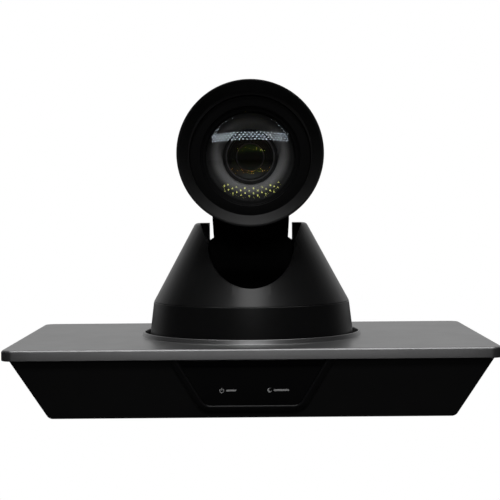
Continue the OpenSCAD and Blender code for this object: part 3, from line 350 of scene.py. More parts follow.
FINISHES: dict[str, Finish] = {
    "black_moulding": Finish("Black moulding", (0.008, 0.008, 0.0085), 0.36, grain_size=0.3),
    # Near-black copy of the moulding: the neck's own black, darkened further as painted shade for the deep
    # shade in the yoke's U.
    "dark_moulding": Finish("Dark moulding", (0.002, 0.002, 0.0022), 0.6, grain_size=0.3, grain_depth=0.02,
                            specular=0.2),
    # Its paler edges are partly rubbed paint and partly a painted highlight along the plate's rolled edge.
    "grey_metal_paint": Finish("Grey metal coat", (0.2, 0.2, 0.202), 0.36, metallic=0.8, grain=Grain.SATIN,
                               grain_size=0.22, grain_depth=0.006, mottle=0.2, wear_and_highlight=0.35),
    "satin_black": Finish("Satin black frame", (0.01, 0.01, 0.011), 0.3, grain=Grain.SATIN, grain_depth=0.003),
    "gloss_black": Finish("Gloss black window", (0.0015, 0.0015, 0.002), 0.05, grain=Grain.POLISHED,
                          grain_depth=0.0, mottle=0.0, smudge=0.03, coat=0.6),
    "circuit_board": Finish("Circuit board", (0.01, 0.09, 0.035), 0.35, grain_depth=0.004),
    "clear_resin": Finish("Clear emitter", (0.85, 0.88, 0.9), 0.15, grain_depth=0.0),
    "ir_resin": Finish("Infrared resin", (0.02, 0.008, 0.01), 0.12, grain_depth=0.0),
    "painted_panel": Finish("Coated steel panel", (0.02, 0.02, 0.022), 0.45, metallic=0.2, grain_size=0.2,
                            grain_depth=0.01, wear_and_highlight=0.2),
    "socket_plastic": Finish("Socket moulding", (0.012, 0.012, 0.012), 0.5, grain_depth=0.006),
    "socket_green": Finish("Green socket moulding", (0.02, 0.18, 0.05), 0.45, grain_depth=0.006),
    "socket_shell": Finish("Tinned shell", (0.62, 0.62, 0.63), 0.3, metallic=1.0, grain=Grain.BRUSHED,
                           grain_depth=0.002, smudge=0.2),
    "chip_resin": Finish("Chip resin", (0.015, 0.015, 0.016), 0.6, grain_depth=0.01),
    "screw_steel": Finish("Zinc-plated screw", (0.55, 0.55, 0.56), 0.3, metallic=1.0, grain_depth=0.002,
                          smudge=0.2),
    "black_screw": Finish("Black oxide screw", (0.02, 0.02, 0.02), 0.35, metallic=0.6, grain_depth=0.002,
                          wear_and_highlight=0.4),
    "cast_alloy": Finish("Cast alloy", (0.5, 0.5, 0.52), 0.45, metallic=1.0, grain_size=0.6,
                         grain_depth=0.02),
    "plated_steel": Finish("Plated sheet steel", (0.5, 0.51, 0.53), 0.35, metallic=1.0, grain=Grain.BRUSHED,
                           grain_depth=0.002),
    "bearing_steel": Finish("Bearing steel", (0.6, 0.6, 0.62), 0.15, metallic=1.0, grain_depth=0.0),
    "spring_steel": Finish("Spring steel", (0.12, 0.12, 0.13), 0.35, metallic=1.0, grain_depth=0.002),
    "motor_can": Finish("Drawn motor can", (0.5, 0.5, 0.51), 0.35, metallic=1.0, grain=Grain.BRUSHED,
                        grain_depth=0.002),
    "brass": Finish("Turned brass", (0.62, 0.43, 0.16), 0.28, metallic=1.0, grain_depth=0.002),
    "bronze": Finish("Sintered bronze", (0.45, 0.27, 0.12), 0.45, metallic=1.0, grain_size=0.2,
                     grain_depth=0.01),
    "rubber": Finish("Rubber", (0.015, 0.015, 0.015), 0.75, grain_size=0.25, grain_depth=0.02),
    "acetal": Finish("Black acetal", (0.02, 0.02, 0.021), 0.4, grain_depth=0.004),
    "window_glass": Finish("Protective glass", (1.0, 1.0, 1.0), 0.0, grain=Grain.POLISHED, grain_depth=0.0,
                           mottle=0.0, smudge=0.0, transmission=1.0, ior=1.46, coat=1.0, coat_roughness=0.0,
                           coat_ior=2.0),
    "coated_glass": Finish("Coated lens glass", (0.9, 1.0, 0.94), 0.0, grain=Grain.POLISHED, grain_depth=0.0,
                           mottle=0.0, smudge=0.0, transmission=1.0, ior=1.6, film=425.0),
    # The funnel's colour carries painted shade that darkens it towards its rim.
    "lens_grey": Finish("Grey funnel", (0.42, 0.42, 0.425), 0.55, grain=Grain.SATIN, grain_size=0.2,
                        grain_depth=0.004, specular=0.2, rim_shade=(127.1, 16.0, 20.5)),
    "lens_black": Finish("Black anodised lens body", (0.004, 0.004, 0.0045), 0.45, grain=Grain.SATIN,
                         grain_depth=0.002, specular=0.25),
}
HOOD_BLACK = Finish("Hood moulding", (0.009, 0.009, 0.0095), 0.56, grain_size=0.3, specular=0.4)
RING_BLACK = Finish("Matt black ring", (0.0025, 0.0025, 0.003), 0.5, grain=Grain.SATIN, grain_depth=0.002,
                    specular=0.2)
LENS_RIM = Finish("Satin lens rim", (0.11, 0.11, 0.115), 0.35, metallic=0.4, grain=Grain.SATIN,
                  grain_depth=0.002)
INK = Finish("White print", (0.8, 0.8, 0.8), 0.5, grain_depth=0.0, mottle=0.02)
GOLD = Finish("Gold contact", (0.8, 0.58, 0.22), 0.25, metallic=1.0, grain_depth=0.0)


# ------------------------------------------------------------------------------------------ mesh making


def arc(centre: Point2, radius: float, start: float, end: float, steps: int = 8) -> list[Point2]:
    """Points along an arc in a plane.

    Args:
        centre: the arc's centre.
        radius: its radius.
        start: its first angle in degrees.
        end: its last angle in degrees.
        steps: how many chords it has.

    Returns:
        The points in order.
    """
    turns = [math.radians(start + (end - start) * i / steps) for i in range(steps + 1)]
    return [(centre[0] + radius * math.cos(t), centre[1] + radius * math.sin(t)) for t in turns]


@dataclass(frozen=True)
class Corner:
    """One corner of a turned profile: radius, place along the axis, rounding, and drop of its centre."""

    radius: float
    along: float
    rounding: float = 0.0
    drop: float = 0.0


def rounded(corners: Sequence[Corner], steps: int = 5) -> list[Corner]:
    """Replaces each corner of a closed profile that has a rounding by the points of its arc.

    Args:
        corners: the sharp profile, in order.
        steps: chords in each arc.

    Returns:
        The profile with its arcs, as corners with no rounding.
    """
    result: list[Corner] = []
    for i, corner in enumerate(corners):
        here = Vector((corner.radius, corner.along))
        before = Vector((corners[i - 1].radius, corners[i - 1].along)) - here
        after = Vector((corners[(i + 1) % len(corners)].radius, corners[(i + 1) % len(corners)].along)) - here
        if corner.rounding <= 0.0 or before.length < 1e-6 or after.length < 1e-6:
            result.append(Corner(here.x, here.y, 0.0, corner.drop))
            continue
        half = before.angle(after) / 2
        reach = min(corner.rounding / math.tan(half), before.length * 0.49, after.length * 0.49)
        first, last = here + before.normalized() * reach, here + after.normalized() * reach
        for k in range(steps + 1):
            t = k / steps
            point = first * (1 - t) ** 2 + here * (2 * t * (1 - t)) + last * t ** 2
            result.append(Corner(point.x, point.y, 0.0, corner.drop))
    return result


class Shell:
    """A mesh under construction, in millimetres, from loops of points that are bridged and capped."""

    def __init__(self, name: str) -> None:
        """Starts an empty shell.

        Args:
            name: the piece's name.
        """
        self.name = name
        self.points: list[Point3] = []
        self.faces: list[tuple[int, ...]] = []

    def loop(self, points: Iterable[Point3]) -> list[int]:
        """Adds points to the mesh.

        Args:
            points: the points in order.

        Returns:
            Their numbers.
        """
        start = len(self.points)
        self.points.extend(points)
        return list(range(start, len(self.points)))

    def bridge(self, first: list[int], second: list[int], closed: bool = True) -> None:
        """Joins two loops of the same length with quads.

        Args:
            first: the first loop's point numbers.
            second: the second loop's point numbers.
            closed: whether the loops' ends are joined as well.
        """
        count = len(first)
        for i in range(count if closed else count - 1):
            j = (i + 1) % count
            self.faces.append((first[i], first[j], second[j], second[i]))

    def cap(self, loop: list[int]) -> None:
        """Closes a loop with one face."""
        self.faces.append(tuple(loop))

    def loft(self, rings: Sequence[Sequence[Point3]], ring_closed: bool = True, tube_closed: bool = True,
             capped: bool = False) -> "Shell":
        """Bridges rings one after another.

        Args:
            rings: loops of points of one length.
            ring_closed: whether each ring is a closed loop.
            tube_closed: whether the last ring joins the first.
            capped: whether the first and the last ring are closed with a face.

        Returns:
            The shell itself.
        """
        loops = [self.loop(ring) for ring in rings]
        for first, second in zip(loops, loops[1:]):
            self.bridge(first, second, ring_closed)
        if tube_closed:
            self.bridge(loops[-1], loops[0], ring_closed)
        if capped:
            self.cap(loops[0])
            self.cap(loops[-1])
        return self

    def turned(self, profile: Sequence[Corner], height: float, count: int = 160) -> "Shell":
        """Turns a closed profile about a line that runs front to back.

        Args:
            profile: the profile's corners, with radii from the line.
            height: the line's height; a corner's drop lowers its own ring.
            count: points around each ring.

        Returns:
            The shell itself.
        """
        turns = [2 * math.pi * i / count for i in range(count)]
        rings = [[(c.radius * math.cos(t), c.along, height - c.drop + c.radius * math.sin(t)) for t in turns]
                 for c in rounded(profile)]
        return self.loft(rings)

    def upright(self, profile: Sequence[Corner], centre: Point2 = (0.0, 0.0), count: int = 192) -> "Shell":
        """Turns a closed profile about an upright line.

        Args:
            profile: the profile's corners, along is the height.
            centre: the line's place.
            count: points around each ring.

        Returns:
            The shell itself.
        """
        turns = [2 * math.pi * i / count for i in range(count)]
        x, y = centre
        rings = [[(x + c.radius * math.cos(t), y + c.radius * math.sin(t), c.along) for t in turns]
                 for c in rounded(profile)]
        return self.loft(rings)

    def finish(self, finish: Finish, smooth: float = 32.0) -> bpy.types.Object:
        """Closes seams and poles, points the faces outwards and gives the mesh its finish.

        Args:
            finish: the piece's surface finish.
            smooth: faces that meet under this angle, in degrees, shade as one.

        Returns:
            The finished object, at the origin.
        """
        mesh = bpy.data.meshes.new(self.name)
        mesh.from_pydata([Vector(p) * MM for p in self.points], [], self.faces)
        work = bmesh.new()
        work.from_mesh(mesh)
        bmesh.ops.remove_doubles(work, verts=work.verts, dist=1e-7)
        bmesh.ops.dissolve_degenerate(work, edges=work.edges, dist=1e-8)
        bmesh.ops.recalc_face_normals(work, faces=work.faces)
        work.to_mesh(mesh)
        work.free()
        return piece_from(mesh, self.name, finish, smooth)


def piece_from(mesh: bpy.types.Mesh, name: str, finish: Finish, smooth: float = 32.0) -> bpy.types.Object:
    """Makes an object at the origin from a mesh, with smooth shading under an angle.

    Args:
        mesh: the finished mesh.
        name: the piece's name.
        finish: its surface finish.
        smooth: the angle in degrees.

    Returns:
        The linked object.
    """
    mesh.materials.clear()
    mesh.materials.append(finish.material())
    mesh.polygons.foreach_set("use_smooth", [True] * len(mesh.polygons))
    mesh.set_sharp_from_angle(angle=math.radians(smooth))
    piece = bpy.data.objects.new(name, mesh)
    bpy.context.scene.collection.objects.link(piece)
    return piece


def applied(piece: bpy.types.Object) -> bpy.types.Object:
    """Turns a piece's modifiers into plain mesh.

    Args:
        piece: an object with live modifiers.

    Returns:
        The same object with the evaluated mesh and no modifiers.
    """
    evaluated = piece.evaluated_get(bpy.context.evaluated_depsgraph_get())
    mesh = bpy.data.meshes.new_from_object(evaluated)
    piece.modifiers.clear()
    piece.data = mesh
    return piece


def eased(node: str, name: str, width: float) -> bpy.types.Object:
    """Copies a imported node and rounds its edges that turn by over 30 degrees, as a mould does.

    Args:
        node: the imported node's name.
        name: the new piece's name.
        width: the rounding's width in millimetres.

    Returns:
        The new object, which stands for the node.
    """
    work = bmesh.new()
    work.from_mesh(frame["nodes"][node].data)
    bmesh.ops.remove_doubles(work, verts=work.verts, dist=2e-6)
    bmesh.ops.dissolve_limit(work, angle_limit=math.radians(0.3), verts=work.verts, edges=work.edges,
                             delimit={"NORMAL"})
    weight = work.edges.layers.float.new("bevel_weight_edge")
    for edge in work.edges:
        if len(edge.link_faces) == 2 and edge.calc_face_angle(0.0) > math.radians(30.0):
            edge[weight] = 1.0
    mesh = bpy.data.meshes.new(name)
    work.to_mesh(mesh)
    work.free()
    piece = piece_from(mesh, name, FINISHES[slot_of(node)])
    round_edges(piece, width)
    return replace(piece, node)


def round_edges(piece: bpy.types.Object, width: float) -> None:
    """Bevels the edges that carry a bevel weight and keeps flat faces flat.

    Args:
        piece: the object to work on.
        width: the rounding in millimetres.
    """
    bevel = piece.modifiers.new("Edge rounding", "BEVEL")
    bevel.limit_method = "WEIGHT"
    bevel.width = width * MM
    bevel.segments = 3
    bevel.use_clamp_overlap = True
    bevel.harden_normals = True
    bevel.miter_outer = "MITER_ARC"
    applied(piece)


def slot_of(node: str) -> str:
    """The record's material slot of a node."""
    return next(s["material_slot"] for s in frame["record"]["subparts"] if s["node"] == node)


def body_of(node: str) -> str:
    """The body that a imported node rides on."""
    bodies = frame["record"]["behaviour"]["bodies"]
    return next(body for body, nodes in bodies.items() if node in nodes)


def replace(piece: bpy.types.Object, *nodes: str) -> bpy.types.Object:
    """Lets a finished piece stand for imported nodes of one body.

    Args:
        piece: the finished object.
        nodes: the nodes it stands for.

    Returns:
        The piece.
    """
    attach(piece, body_of(nodes[0]))
    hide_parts(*nodes)
    LOG.info("%s: %d faces, stands for %s", piece.name, len(piece.data.polygons), ", ".join(nodes))
    return piece


def extra(piece: bpy.types.Object, body: str) -> bpy.types.Object:
    """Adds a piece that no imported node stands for, such as a print or a contact.

    Args:
        piece: the finished object.
        body: the body it rides on.

    Returns:
        The piece.
    """
    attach(piece, body)
    LOG.info("%s: %d faces, added to %s", piece.name, len(piece.data.polygons), body)
    return piece


# ------------------------------------------------------------------------------------------ repetition


class Layout(Enum):
    """How copies of one small piece are set out."""

    ROW = "Row of copies"
    RING = "Ring of copies"
    GRID = "Grid of copies"


def layout_tree(layout: Layout) -> bpy.types.NodeTree:
    """Geometry Nodes that set copies of a prototype out in a row, a ring or a grid.

    Args:
        layout: the arrangement.

    Returns:
        The tree, with its sizes as named inputs.
    """
    name = layout.value
    if name in bpy.data.node_groups:
        return bpy.data.node_groups[name]
    sizes = {
        Layout.ROW: {"Count": ("NodeSocketInt", 2), "Step": ("NodeSocketVector", (0.0, 0.0, 0.0))},
        Layout.RING: {"Count": ("NodeSocketInt", 6), "Radius": ("NodeSocketFloat", 0.01)},
        Layout.GRID: {"Columns": ("NodeSocketInt", 2), "Rows": ("NodeSocketInt", 2),
                      "Width": ("NodeSocketFloat", 0.1), "Height": ("NodeSocketFloat", 0.1)},
    }[layout]
    tree, source, sink = new_group(name, {
        "Prototype": ("NodeSocketObject", None), **sizes,
        "Turn": ("NodeSocketVector", NO_TURN), "Place": ("NodeSocketVector", NO_TURN),
        "Finish": ("NodeSocketMaterial", None)}, {"Geometry": "NodeSocketGeometry"}, "GeometryNodeTree")
    given = source.outputs
    if layout is Layout.ROW:
        points = add(tree, "GeometryNodeMeshLine", {"Count": given["Count"], "Offset": given["Step"]})
    elif layout is Layout.RING:
        points = add(tree, "GeometryNodeMeshCircle", {
            "Vertices": given["Count"], "Radius": given["Radius"]})
    else:
        points = add(tree, "GeometryNodeMeshGrid", {
            "Vertices X": given["Columns"], "Vertices Y": given["Rows"], "Size X": given["Width"],
            "Size Y": given["Height"]})
    shape = add(tree, "GeometryNodeObjectInfo", {"Object": given["Prototype"]})
    copies = add(tree, "GeometryNodeInstanceOnPoints", {"Points": points.outputs[0],
                                                        "Instance": shape.outputs["Geometry"]})
    whole = add(tree, "GeometryNodeRealizeInstances", {"Geometry": copies.outputs[0]})
    placed = add(tree, "GeometryNodeTransform", {
        "Geometry": whole.outputs[0], "Translation": given["Place"], "Rotation": given["Turn"]})
    coated = add(tree, "GeometryNodeSetMaterial", {
        "Geometry": placed.outputs[0], "Material": given["Finish"]})
    tree.links.new(coated.outputs[0], sink.inputs["Geometry"])
    return tree


def repeated(name: str, layout: Layout, prototype: bpy.types.Object, finish: Finish,
             **sizes: object) -> bpy.types.Object:
    """Sets copies of a prototype out with Geometry Nodes and turns the result into plain mesh.

    Args:
        name: the new piece's name.
        layout: how the copies are set out.
        prototype: the object that is copied, which the caller takes away.
        finish: the copies' surface finish.
        sizes: the tree's other named inputs, in metres and radians, with capital first letters.

    Returns:
        The finished object, at the origin.
    """
    host = bpy.data.objects.new(name, bpy.data.meshes.new(name))
    bpy.context.scene.collection.objects.link(host)
    tree = layout_tree(layout)
    modifier = host.modifiers.new("Copies", "NODES")
    modifier.node_group = tree
    given = {"Prototype": prototype, "Finish": finish.material(), "Turn": NO_TURN, "Place": NO_TURN, **sizes}
    for socket in tree.interface.items_tree:
        if socket.in_out == "INPUT" and socket.name in given:
            modifier[socket.identifier] = given[socket.name]
    applied(host)
    host.data.materials.clear()
    host.data.materials.append(finish.material())
    return host


def joined(name: str, pieces: Sequence[bpy.types.Object]) -> bpy.types.Object:
    """Makes one mesh object of several objects, which are removed.

    Args:
        name: the new piece's name.
        pieces: objects at the origin with one finish.

    Returns:
        The joined object.
    """
    work = bmesh.new()
    for piece in pieces:
        work.from_mesh(piece.data)
    mesh = bpy.data.meshes.new(name)
    work.to_mesh(mesh)
    work.free()
    mesh.materials.append(pieces[0].data.materials[0])
    for piece in pieces:
        bpy.data.objects.remove(piece)
    whole = bpy.data.objects.new(name, mesh)
    bpy.context.scene.collection.objects.link(whole)
    return whole


def removed(prototype: bpy.types.Object) -> None:
    """Takes a prototype out of the scene once its copies are made."""
    bpy.data.objects.remove(prototype)


@dataclass(frozen=True)
class Screw:
    """A cross-recess screw. Its arm and depth are shares of the head's radius and height."""

    head_r: float
    head_h: float
    shank_r: float
    length: float
    arm: float = 0.62
    depth: float = 0.7

    def prototype(self) -> bpy.types.Object:
        """Builds one screw at the origin.

        Returns:
            An object whose head's face is at height 0 and whose shank points up.
        """
        shell = Shell("screw prototype")
        count, reach, half = 48, self.head_r * self.arm, self.head_r * 0.13
        turns = [2 * math.pi * i / count for i in range(count)]

        def ring(radius: float, height: float) -> list[Point3]:
            """A circle round the screw."""
            return [(radius * math.cos(t), radius * math.sin(t), height) for t in turns]

        def cross(scale: float, height: float) -> list[Point3]:
            """The outline of the cross recess, one point for each of a ring's.

            Args:
                scale: its size, where 1 is the recess at the head's face.
                height: the height of its points.

            Returns:
                The points in order.
            """
            outline = []
            for t in turns:
                along = max(abs(math.cos(t)), abs(math.sin(t)))
                across = min(abs(math.cos(t)), abs(math.sin(t)))
                length = min(reach / along, half / max(across, 1e-6)) * scale
                outline.append((length * math.cos(t), length * math.sin(t), height))
            return outline

        face = self.head_r - min(0.35, self.head_h * 0.5)
        shell.loft([
            cross(0.5, self.head_h * self.depth), cross(1.0, 0.0), ring(face, 0.0),
            ring(self.head_r - 0.08, self.head_h * 0.22), ring(self.head_r, self.head_h * 0.45),
            ring(self.head_r, self.head_h), ring(self.shank_r, self.head_h),
            ring(self.shank_r, self.length - self.shank_r * 0.5), ring(self.shank_r * 0.5, self.length),
        ], tube_closed=False, capped=True)
        return shell.finish(FINISHES["screw_steel"], 40.0)


def bar_prototype(size: Point3) -> bpy.types.Object:
    """A small block with rounded upright corners, centred on the origin.

    Args:
        size: its width, depth and height in millimetres.

    Returns:
        The block's object.
    """
    half = [s / 2 for s in size]
    r = min(half) * 0.5
    corners = [(half[0] - r, half[1] - r, 0), (r - half[0], half[1] - r, 90),
               (r - half[0], r - half[1], 180), (half[0] - r, r - half[1], 270)]
    outline = [p for x, y, a in corners for p in arc((x, y), r, a, a + 90, 2)]
    rings = [[(x * k, y * k, z) for x, y in outline]
             for k, z in ((0.94, -half[2]), (1.0, -half[2] * 0.9), (1.0, half[2] * 0.9), (0.94, half[2]))]
    return Shell("bar prototype").loft(rings, tube_closed=False, capped=True).finish(FINISHES["acetal"])


# ------------------------------------------------------------------------------------------------- base


@dataclass(frozen=True)
class ContactRow:
    """A row of equal sprung contacts in a socket: their size, number and step, and the first one's place."""

    name: str
    size: Point3
    count: int
    step: float
    first: Point3

    def build(self) -> bpy.types.Object:
        """Sets the contacts out in their row.

        Returns:
            One object that holds them all.
        """
        contact = bar_prototype(self.size)
        row = repeated(self.name, Layout.ROW, contact, GOLD, Count=self.count,
                       Step=(self.step * MM, 0.0, 0.0), Place=tuple(size * MM for size in self.first))
        removed(contact)
        return row


@dataclass
class BaseAssembly:
    """The flat base: plate, tray, front window, rear panel with its sockets, feet and screws."""

    plate_w: float = 240.0
    plate_d: float = 152.0
    plate_z: float = 34.0
    lip_z: float = 28.8
    lip_wall: float = 2.2
    skin: float = 2.0
    corner_r: float = 6.0
    edge_round: float = 1.3
    edge_land: float = 1.5
    boss_r: float = 3.8
    boss_bore: float = 1.5
    boss_z: float = 10.1
    hole_r: float = 56.0
    bead_land: float = 2.0
    bead_w: float = 1.6
    bead_h: float = 2.4
    bead_round: float = 0.5
    tray_front: float = -73.5
    window_top: float = 28.7
    window_foot: float = 7.0
    window_top_half: float = 35.7
    window_foot_half: float = 22.4
    window_corner_r: float = 5.0
    window_face: float = -74.9
    bezel_w: float = 3.6
    bezel_face: float = -75.4
    mark_foot: float = 13.1
    mark_top: float = 15.3
    mark_line: float = 0.34
    ink: float = 0.03
    bush_r: float = 6.0
    bush_bore: float = 3.175
    thread_pitch: float = 1.27
    thread_depth: float = 0.35
    tray_screw: Screw = Screw(2.8, 2.0, 1.45, 17.0)
    tray_screw_z: float = 1.6
    panel_screw: Screw = Screw(2.2, 1.2, 1.2, 2.3)
    contact_rows: tuple[ContactRow, ...] = (
        ContactRow("network_contacts", (0.45, 7.0, 0.25), 8, 1.02, (-43.57, 66.0, 17.4)),
        ContactRow("video_contacts", (0.3, 5.0, 0.22), 10, 1.0, (0.5, 67.2, 12.92)),
        ContactRow("bus_contacts", (0.7, 0.9, 0.7), 4, 1.6, (-19.4, 67.5, 16.3)))
    screws_at: tuple[Point2, ...] = tuple((sx * 84.0, y) for sx in (-1, 1) for y in (-58.0, 0.0, 58.0))
    feet_at: tuple[Point2, ...] = tuple((sx * 70.0, sy * 56.0) for sx in (-1, 1) for sy in (-1, 1))

    def build(self) -> None:
        """Builds every piece of the base in order."""
        self.top_plate()
        eased("base_tray", "tray_casting", 0.45)
        self.window_frame()
        self.window()
        self.pictograms()
        eased("rear_panel", "connector_plate", 0.12)
        self.contacts()
        self.feet()
        self.screws()
        self.threaded_bush()

    def outline(self, inset: float, radius: float, height: float) -> list[Point3]:
        """The plate's outline, moved in.

        Args:
            inset: how far it is moved in.
            radius: its corner radius.
            height: the height of its points.

        Returns:
            Points with an even number along each side and around each corner.
        """
        x, y = self.plate_w / 2 - inset, self.plate_d / 2 - inset
        points: list[Point2] = []
        for cx, cy, start in ((x - radius, y - radius, 0), (radius - x, y - radius, 90),
                              (radius - x, radius - y, 180), (x - radius, radius - y, 270)):
            bend = arc((cx, cy), radius, start, start + 90, 10)
            if points:
                points.extend(self.between(points[-1], bend[0]))
            points.extend(bend)
        points.extend(self.between(points[-1], points[0]))
        return [(px, py, height) for px, py in points]

    @staticmethod
    def between(first: Point2, last: Point2, count: int = 24) -> list[Point2]:
        """Points on a straight line between two others, without its ends."""
        return [(first[0] + (last[0] - first[0]) * i / count, first[1] + (last[1] - first[1]) * i / count)
                for i in range(1, count)]

    def around(self, radius: float, height: float) -> list[Point3]:
        """A circle whose points face those of the plate's outline."""
        turns = [math.atan2(y, x) for x, y, _ in self.outline(0.0, self.corner_r, 0.0)]
        return [(radius * math.cos(t), radius * math.sin(t), height) for t in turns]

    def top_plate(self) -> None:
        """The pressed plate with its rolled edge, and the raised bead around the yoke's opening."""
        top, r = self.plate_z, self.edge_round
        shell = Shell("cover_plate")
        edge = [self.outline(r - x, self.corner_r - r + x, top - r + z)
                for z, x in arc((0.0, 0.0), r, 90, 0, 6)]
        inner, outer, crest, roll = self.hole_r, self.hole_r + self.bead_w, top + self.bead_h, self.bead_round
        bead = [(outer + self.bead_land, top), (outer + 0.5, top), (outer + 0.1, top + 0.12),
                (outer - 0.1, top + 0.4)]
        bead += arc((inner + roll, crest - roll), roll, 25, 180, 10)
        bead += [(inner, self.lip_z + 0.3), (inner + 0.3, self.lip_z), (inner + self.skin, self.lip_z),
                 (inner + self.skin, top - self.skin)]
        rings = [self.outline(self.lip_wall, 0.4, top - self.skin),
                 self.outline(self.lip_wall, 0.4, self.lip_z),
                 self.outline(0.3, self.corner_r - 0.3, self.lip_z),
                 self.outline(0.0, self.corner_r, self.lip_z + 0.3)]
        rings += edge + [self.outline(r + self.edge_land, self.corner_r - r - self.edge_land, top)]
        rings += [self.around(radius, height) for radius, height in bead]
        shell.loft(rings)
        bore, wall, root = self.boss_bore, self.boss_r, top - self.skin + 0.5
        for place in self.screws_at:
            shell.upright([Corner(bore, self.boss_z), Corner(wall, self.boss_z, 0.3), Corner(wall, root),
                           Corner(bore, root)], place, 24)
        # The plate's finish paints part of the highlight on its rolled edge as paler paint.
        replace(shell.finish(FINISHES["grey_metal_paint"]), "top_plate")

    def trapezium(self, margin: float, top: float, depth: float) -> list[Point3]:
        """The front window's outline, moved out by a margin.

        Args:
            margin: how far it is moved out.
            top: the height of its upper corners.
            depth: where it lies, front to back.

        Returns:
            An open run of points from the upper right over the bottom to the upper left.
        """
        spread, height = self.window_top_half - self.window_foot_half, self.window_top - self.window_foot
        slope = math.atan(spread / height)
        low, r = self.window_foot - margin, self.window_corner_r + margin
        foot = self.window_foot_half - margin * math.tan(slope) + margin / math.cos(slope)
        side = foot + r * math.tan(slope) - r / math.cos(slope)
        turn = arc((side, low + r), r, -math.degrees(slope), -90, 10)
        half = [(foot + (top - low) * math.tan(slope), top)] + turn
        whole = half + [(-x, z) for x, z in reversed(half)]
        return [(x, depth, z) for x, z in whole]

    def window_frame(self) -> None:
        """The bevelled frame: a ramp from the tray's face up to a narrow land beside the window."""
        face, back, top = self.bezel_face, self.tray_front, self.window_top
        steps = [(0.1, back), (0.1, face + 0.35), (0.3, face + 0.08), (0.6, face), (1.0, face + 0.02),
                 (self.bezel_w - 0.35, back - 0.75), (self.bezel_w - 0.05, back - 0.55),
                 (self.bezel_w, back - 0.3), (self.bezel_w, back)]
        columns = [self.trapezium(margin, top, depth) for margin, depth in steps]
        rings = [list(ring) for ring in zip(*columns)]
        shell = Shell("window_frame").loft(rings, tube_closed=False, capped=True)
        replace(shell.finish(FINISHES["satin_black"], 24.0), "window_bezel")

    def window(self) -> None:
        """The dark window, with its front edge eased."""
        shell = Shell("dark_window")
        steps = [(0.0, self.tray_front), (0.0, self.window_face + 0.35), (-0.1, self.window_face + 0.1),
                 (-0.35, self.window_face)]
        rings = [self.trapezium(margin, self.window_top + min(margin, 0.0), depth) for margin, depth in steps]
        shell.loft(rings, tube_closed=False, capped=True)
        replace(shell.finish(FINISHES["gloss_black"]), "front_window")

    def pictograms(self) -> None:
        """Two printed marks on the window: a power sign and a crescent, each with a plain bar beside it."""
        face, low, high, line = self.window_face - 0.02, self.mark_foot, self.mark_top, self.mark_line
        middle, radius, back = (low + high) / 2, (high - low) / 2, self.window_face - 0.02 + self.ink
        marks = Shell("window_marks")

        def strip(outer: Sequence[Point2], inner: Sequence[Point2]) -> None:
            """Prints the strip between two lines with equally many points.

            Args:
                outer: the first line, across and up.
                inner: the second line.
            """
            marks.loft([[(x, y, z) for x, z in side]
                        for side, y in ((outer, face), (inner, face), (inner, back), (outer, back))],
                       ring_closed=False)
            for pick in (0, -1):
                (ox, oz), (ix, iz) = outer[pick], inner[pick]
                marks.cap(marks.loop([(ox, face, oz), (ix, face, iz), (ix, back, iz), (ox, back, oz)]))

        def pill(x0: float, x1: float) -> None:
            """Prints a plain bar with round ends."""
            r = 0.42
            strip(arc((x1 - r, middle), r, -90, 90, 8), arc((x0 + r, middle), r, 270, 90, 8))

        def power_sign(x: float) -> None:
            """Prints an open circle with a stroke in its gap.

            Args:
                x: the circle's centre, across the window.
            """
            centre = (x, middle - 0.1)
            strip(arc(centre, radius, 125, 415, 28), arc(centre, radius - line, 125, 415, 28))
            strip([(x - line / 2, high + 0.05), (x + line / 2, high + 0.05)],
                  [(x - line / 2, middle), (x + line / 2, middle)])

        def crescent(x: float) -> None:
            """Prints a crescent, open to the upper right."""
            strip(arc((x, middle), radius, 60, 330, 28),
                  arc((x + radius * 0.42, middle + radius * 0.24), radius * 0.75, 66, 324, 28))

        power_sign(-14.4)
        pill(-12.4, -7.5)
        crescent(8.4)
        pill(10.2, 17.6)
        extra(marks.finish(INK), "base")

    def contacts(self) -> None:
        """The sprung contacts inside the sockets, on the same centres as the real ones."""
        extra(joined("socket_contacts", [row.build() for row in self.contact_rows]), "base")

    def feet(self) -> None:
        """Four rubber feet with a rounded rim and a shallow dished face."""
        shell = Shell("foot prototype")
        turns = [2 * math.pi * i / 64 for i in range(64)]
        profile = [(1.2, 0.22), (4.4, 0.22), (4.7, 0.0), (5.4, 0.0), (5.8, 0.16), (6.0, 0.6), (6.0, 2.2)]
        rings = [[(r * math.cos(t), r * math.sin(t), z) for t in turns] for r, z in profile]
        foot = shell.loft(rings, tube_closed=False, capped=True).finish(FINISHES["rubber"])
        x, y = self.feet_at[-1]
        feet = repeated("rubber_pads", Layout.GRID, foot, FINISHES["rubber"], Columns=2, Rows=2,
                        Width=2 * x * MM, Height=2 * y * MM)
        removed(foot)
        replace(feet, "rubber_feet")

    def screws(self) -> None:
        """The screws that hold the plate and the rear panel."""
        upward = self.tray_screw.prototype()
        x, y = self.screws_at[-1]
        floor = repeated("tray_screws", Layout.GRID, upward, FINISHES["black_screw"], Columns=2, Rows=3,
                         Width=2 * x * MM, Height=2 * y * MM, Place=(0.0, 0.0, self.tray_screw_z * MM))
        removed(upward)
        replace(floor, "base_screws")
        sideways, reach = self.panel_screw.prototype(), self.panel_screw.head_r * MM
        low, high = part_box("panel_screws")
        rear = repeated("panel_fixings", Layout.ROW, sideways, FINISHES["black_screw"], Count=2,
                        Step=(high.x - low.x - 2 * reach, 0.0, 0.0), Turn=(math.radians(90), 0.0, 0.0),
                        Place=(low.x + reach, high.y, (low.z + high.z) / 2))
        removed(sideways)
        replace(rear, "panel_screws")

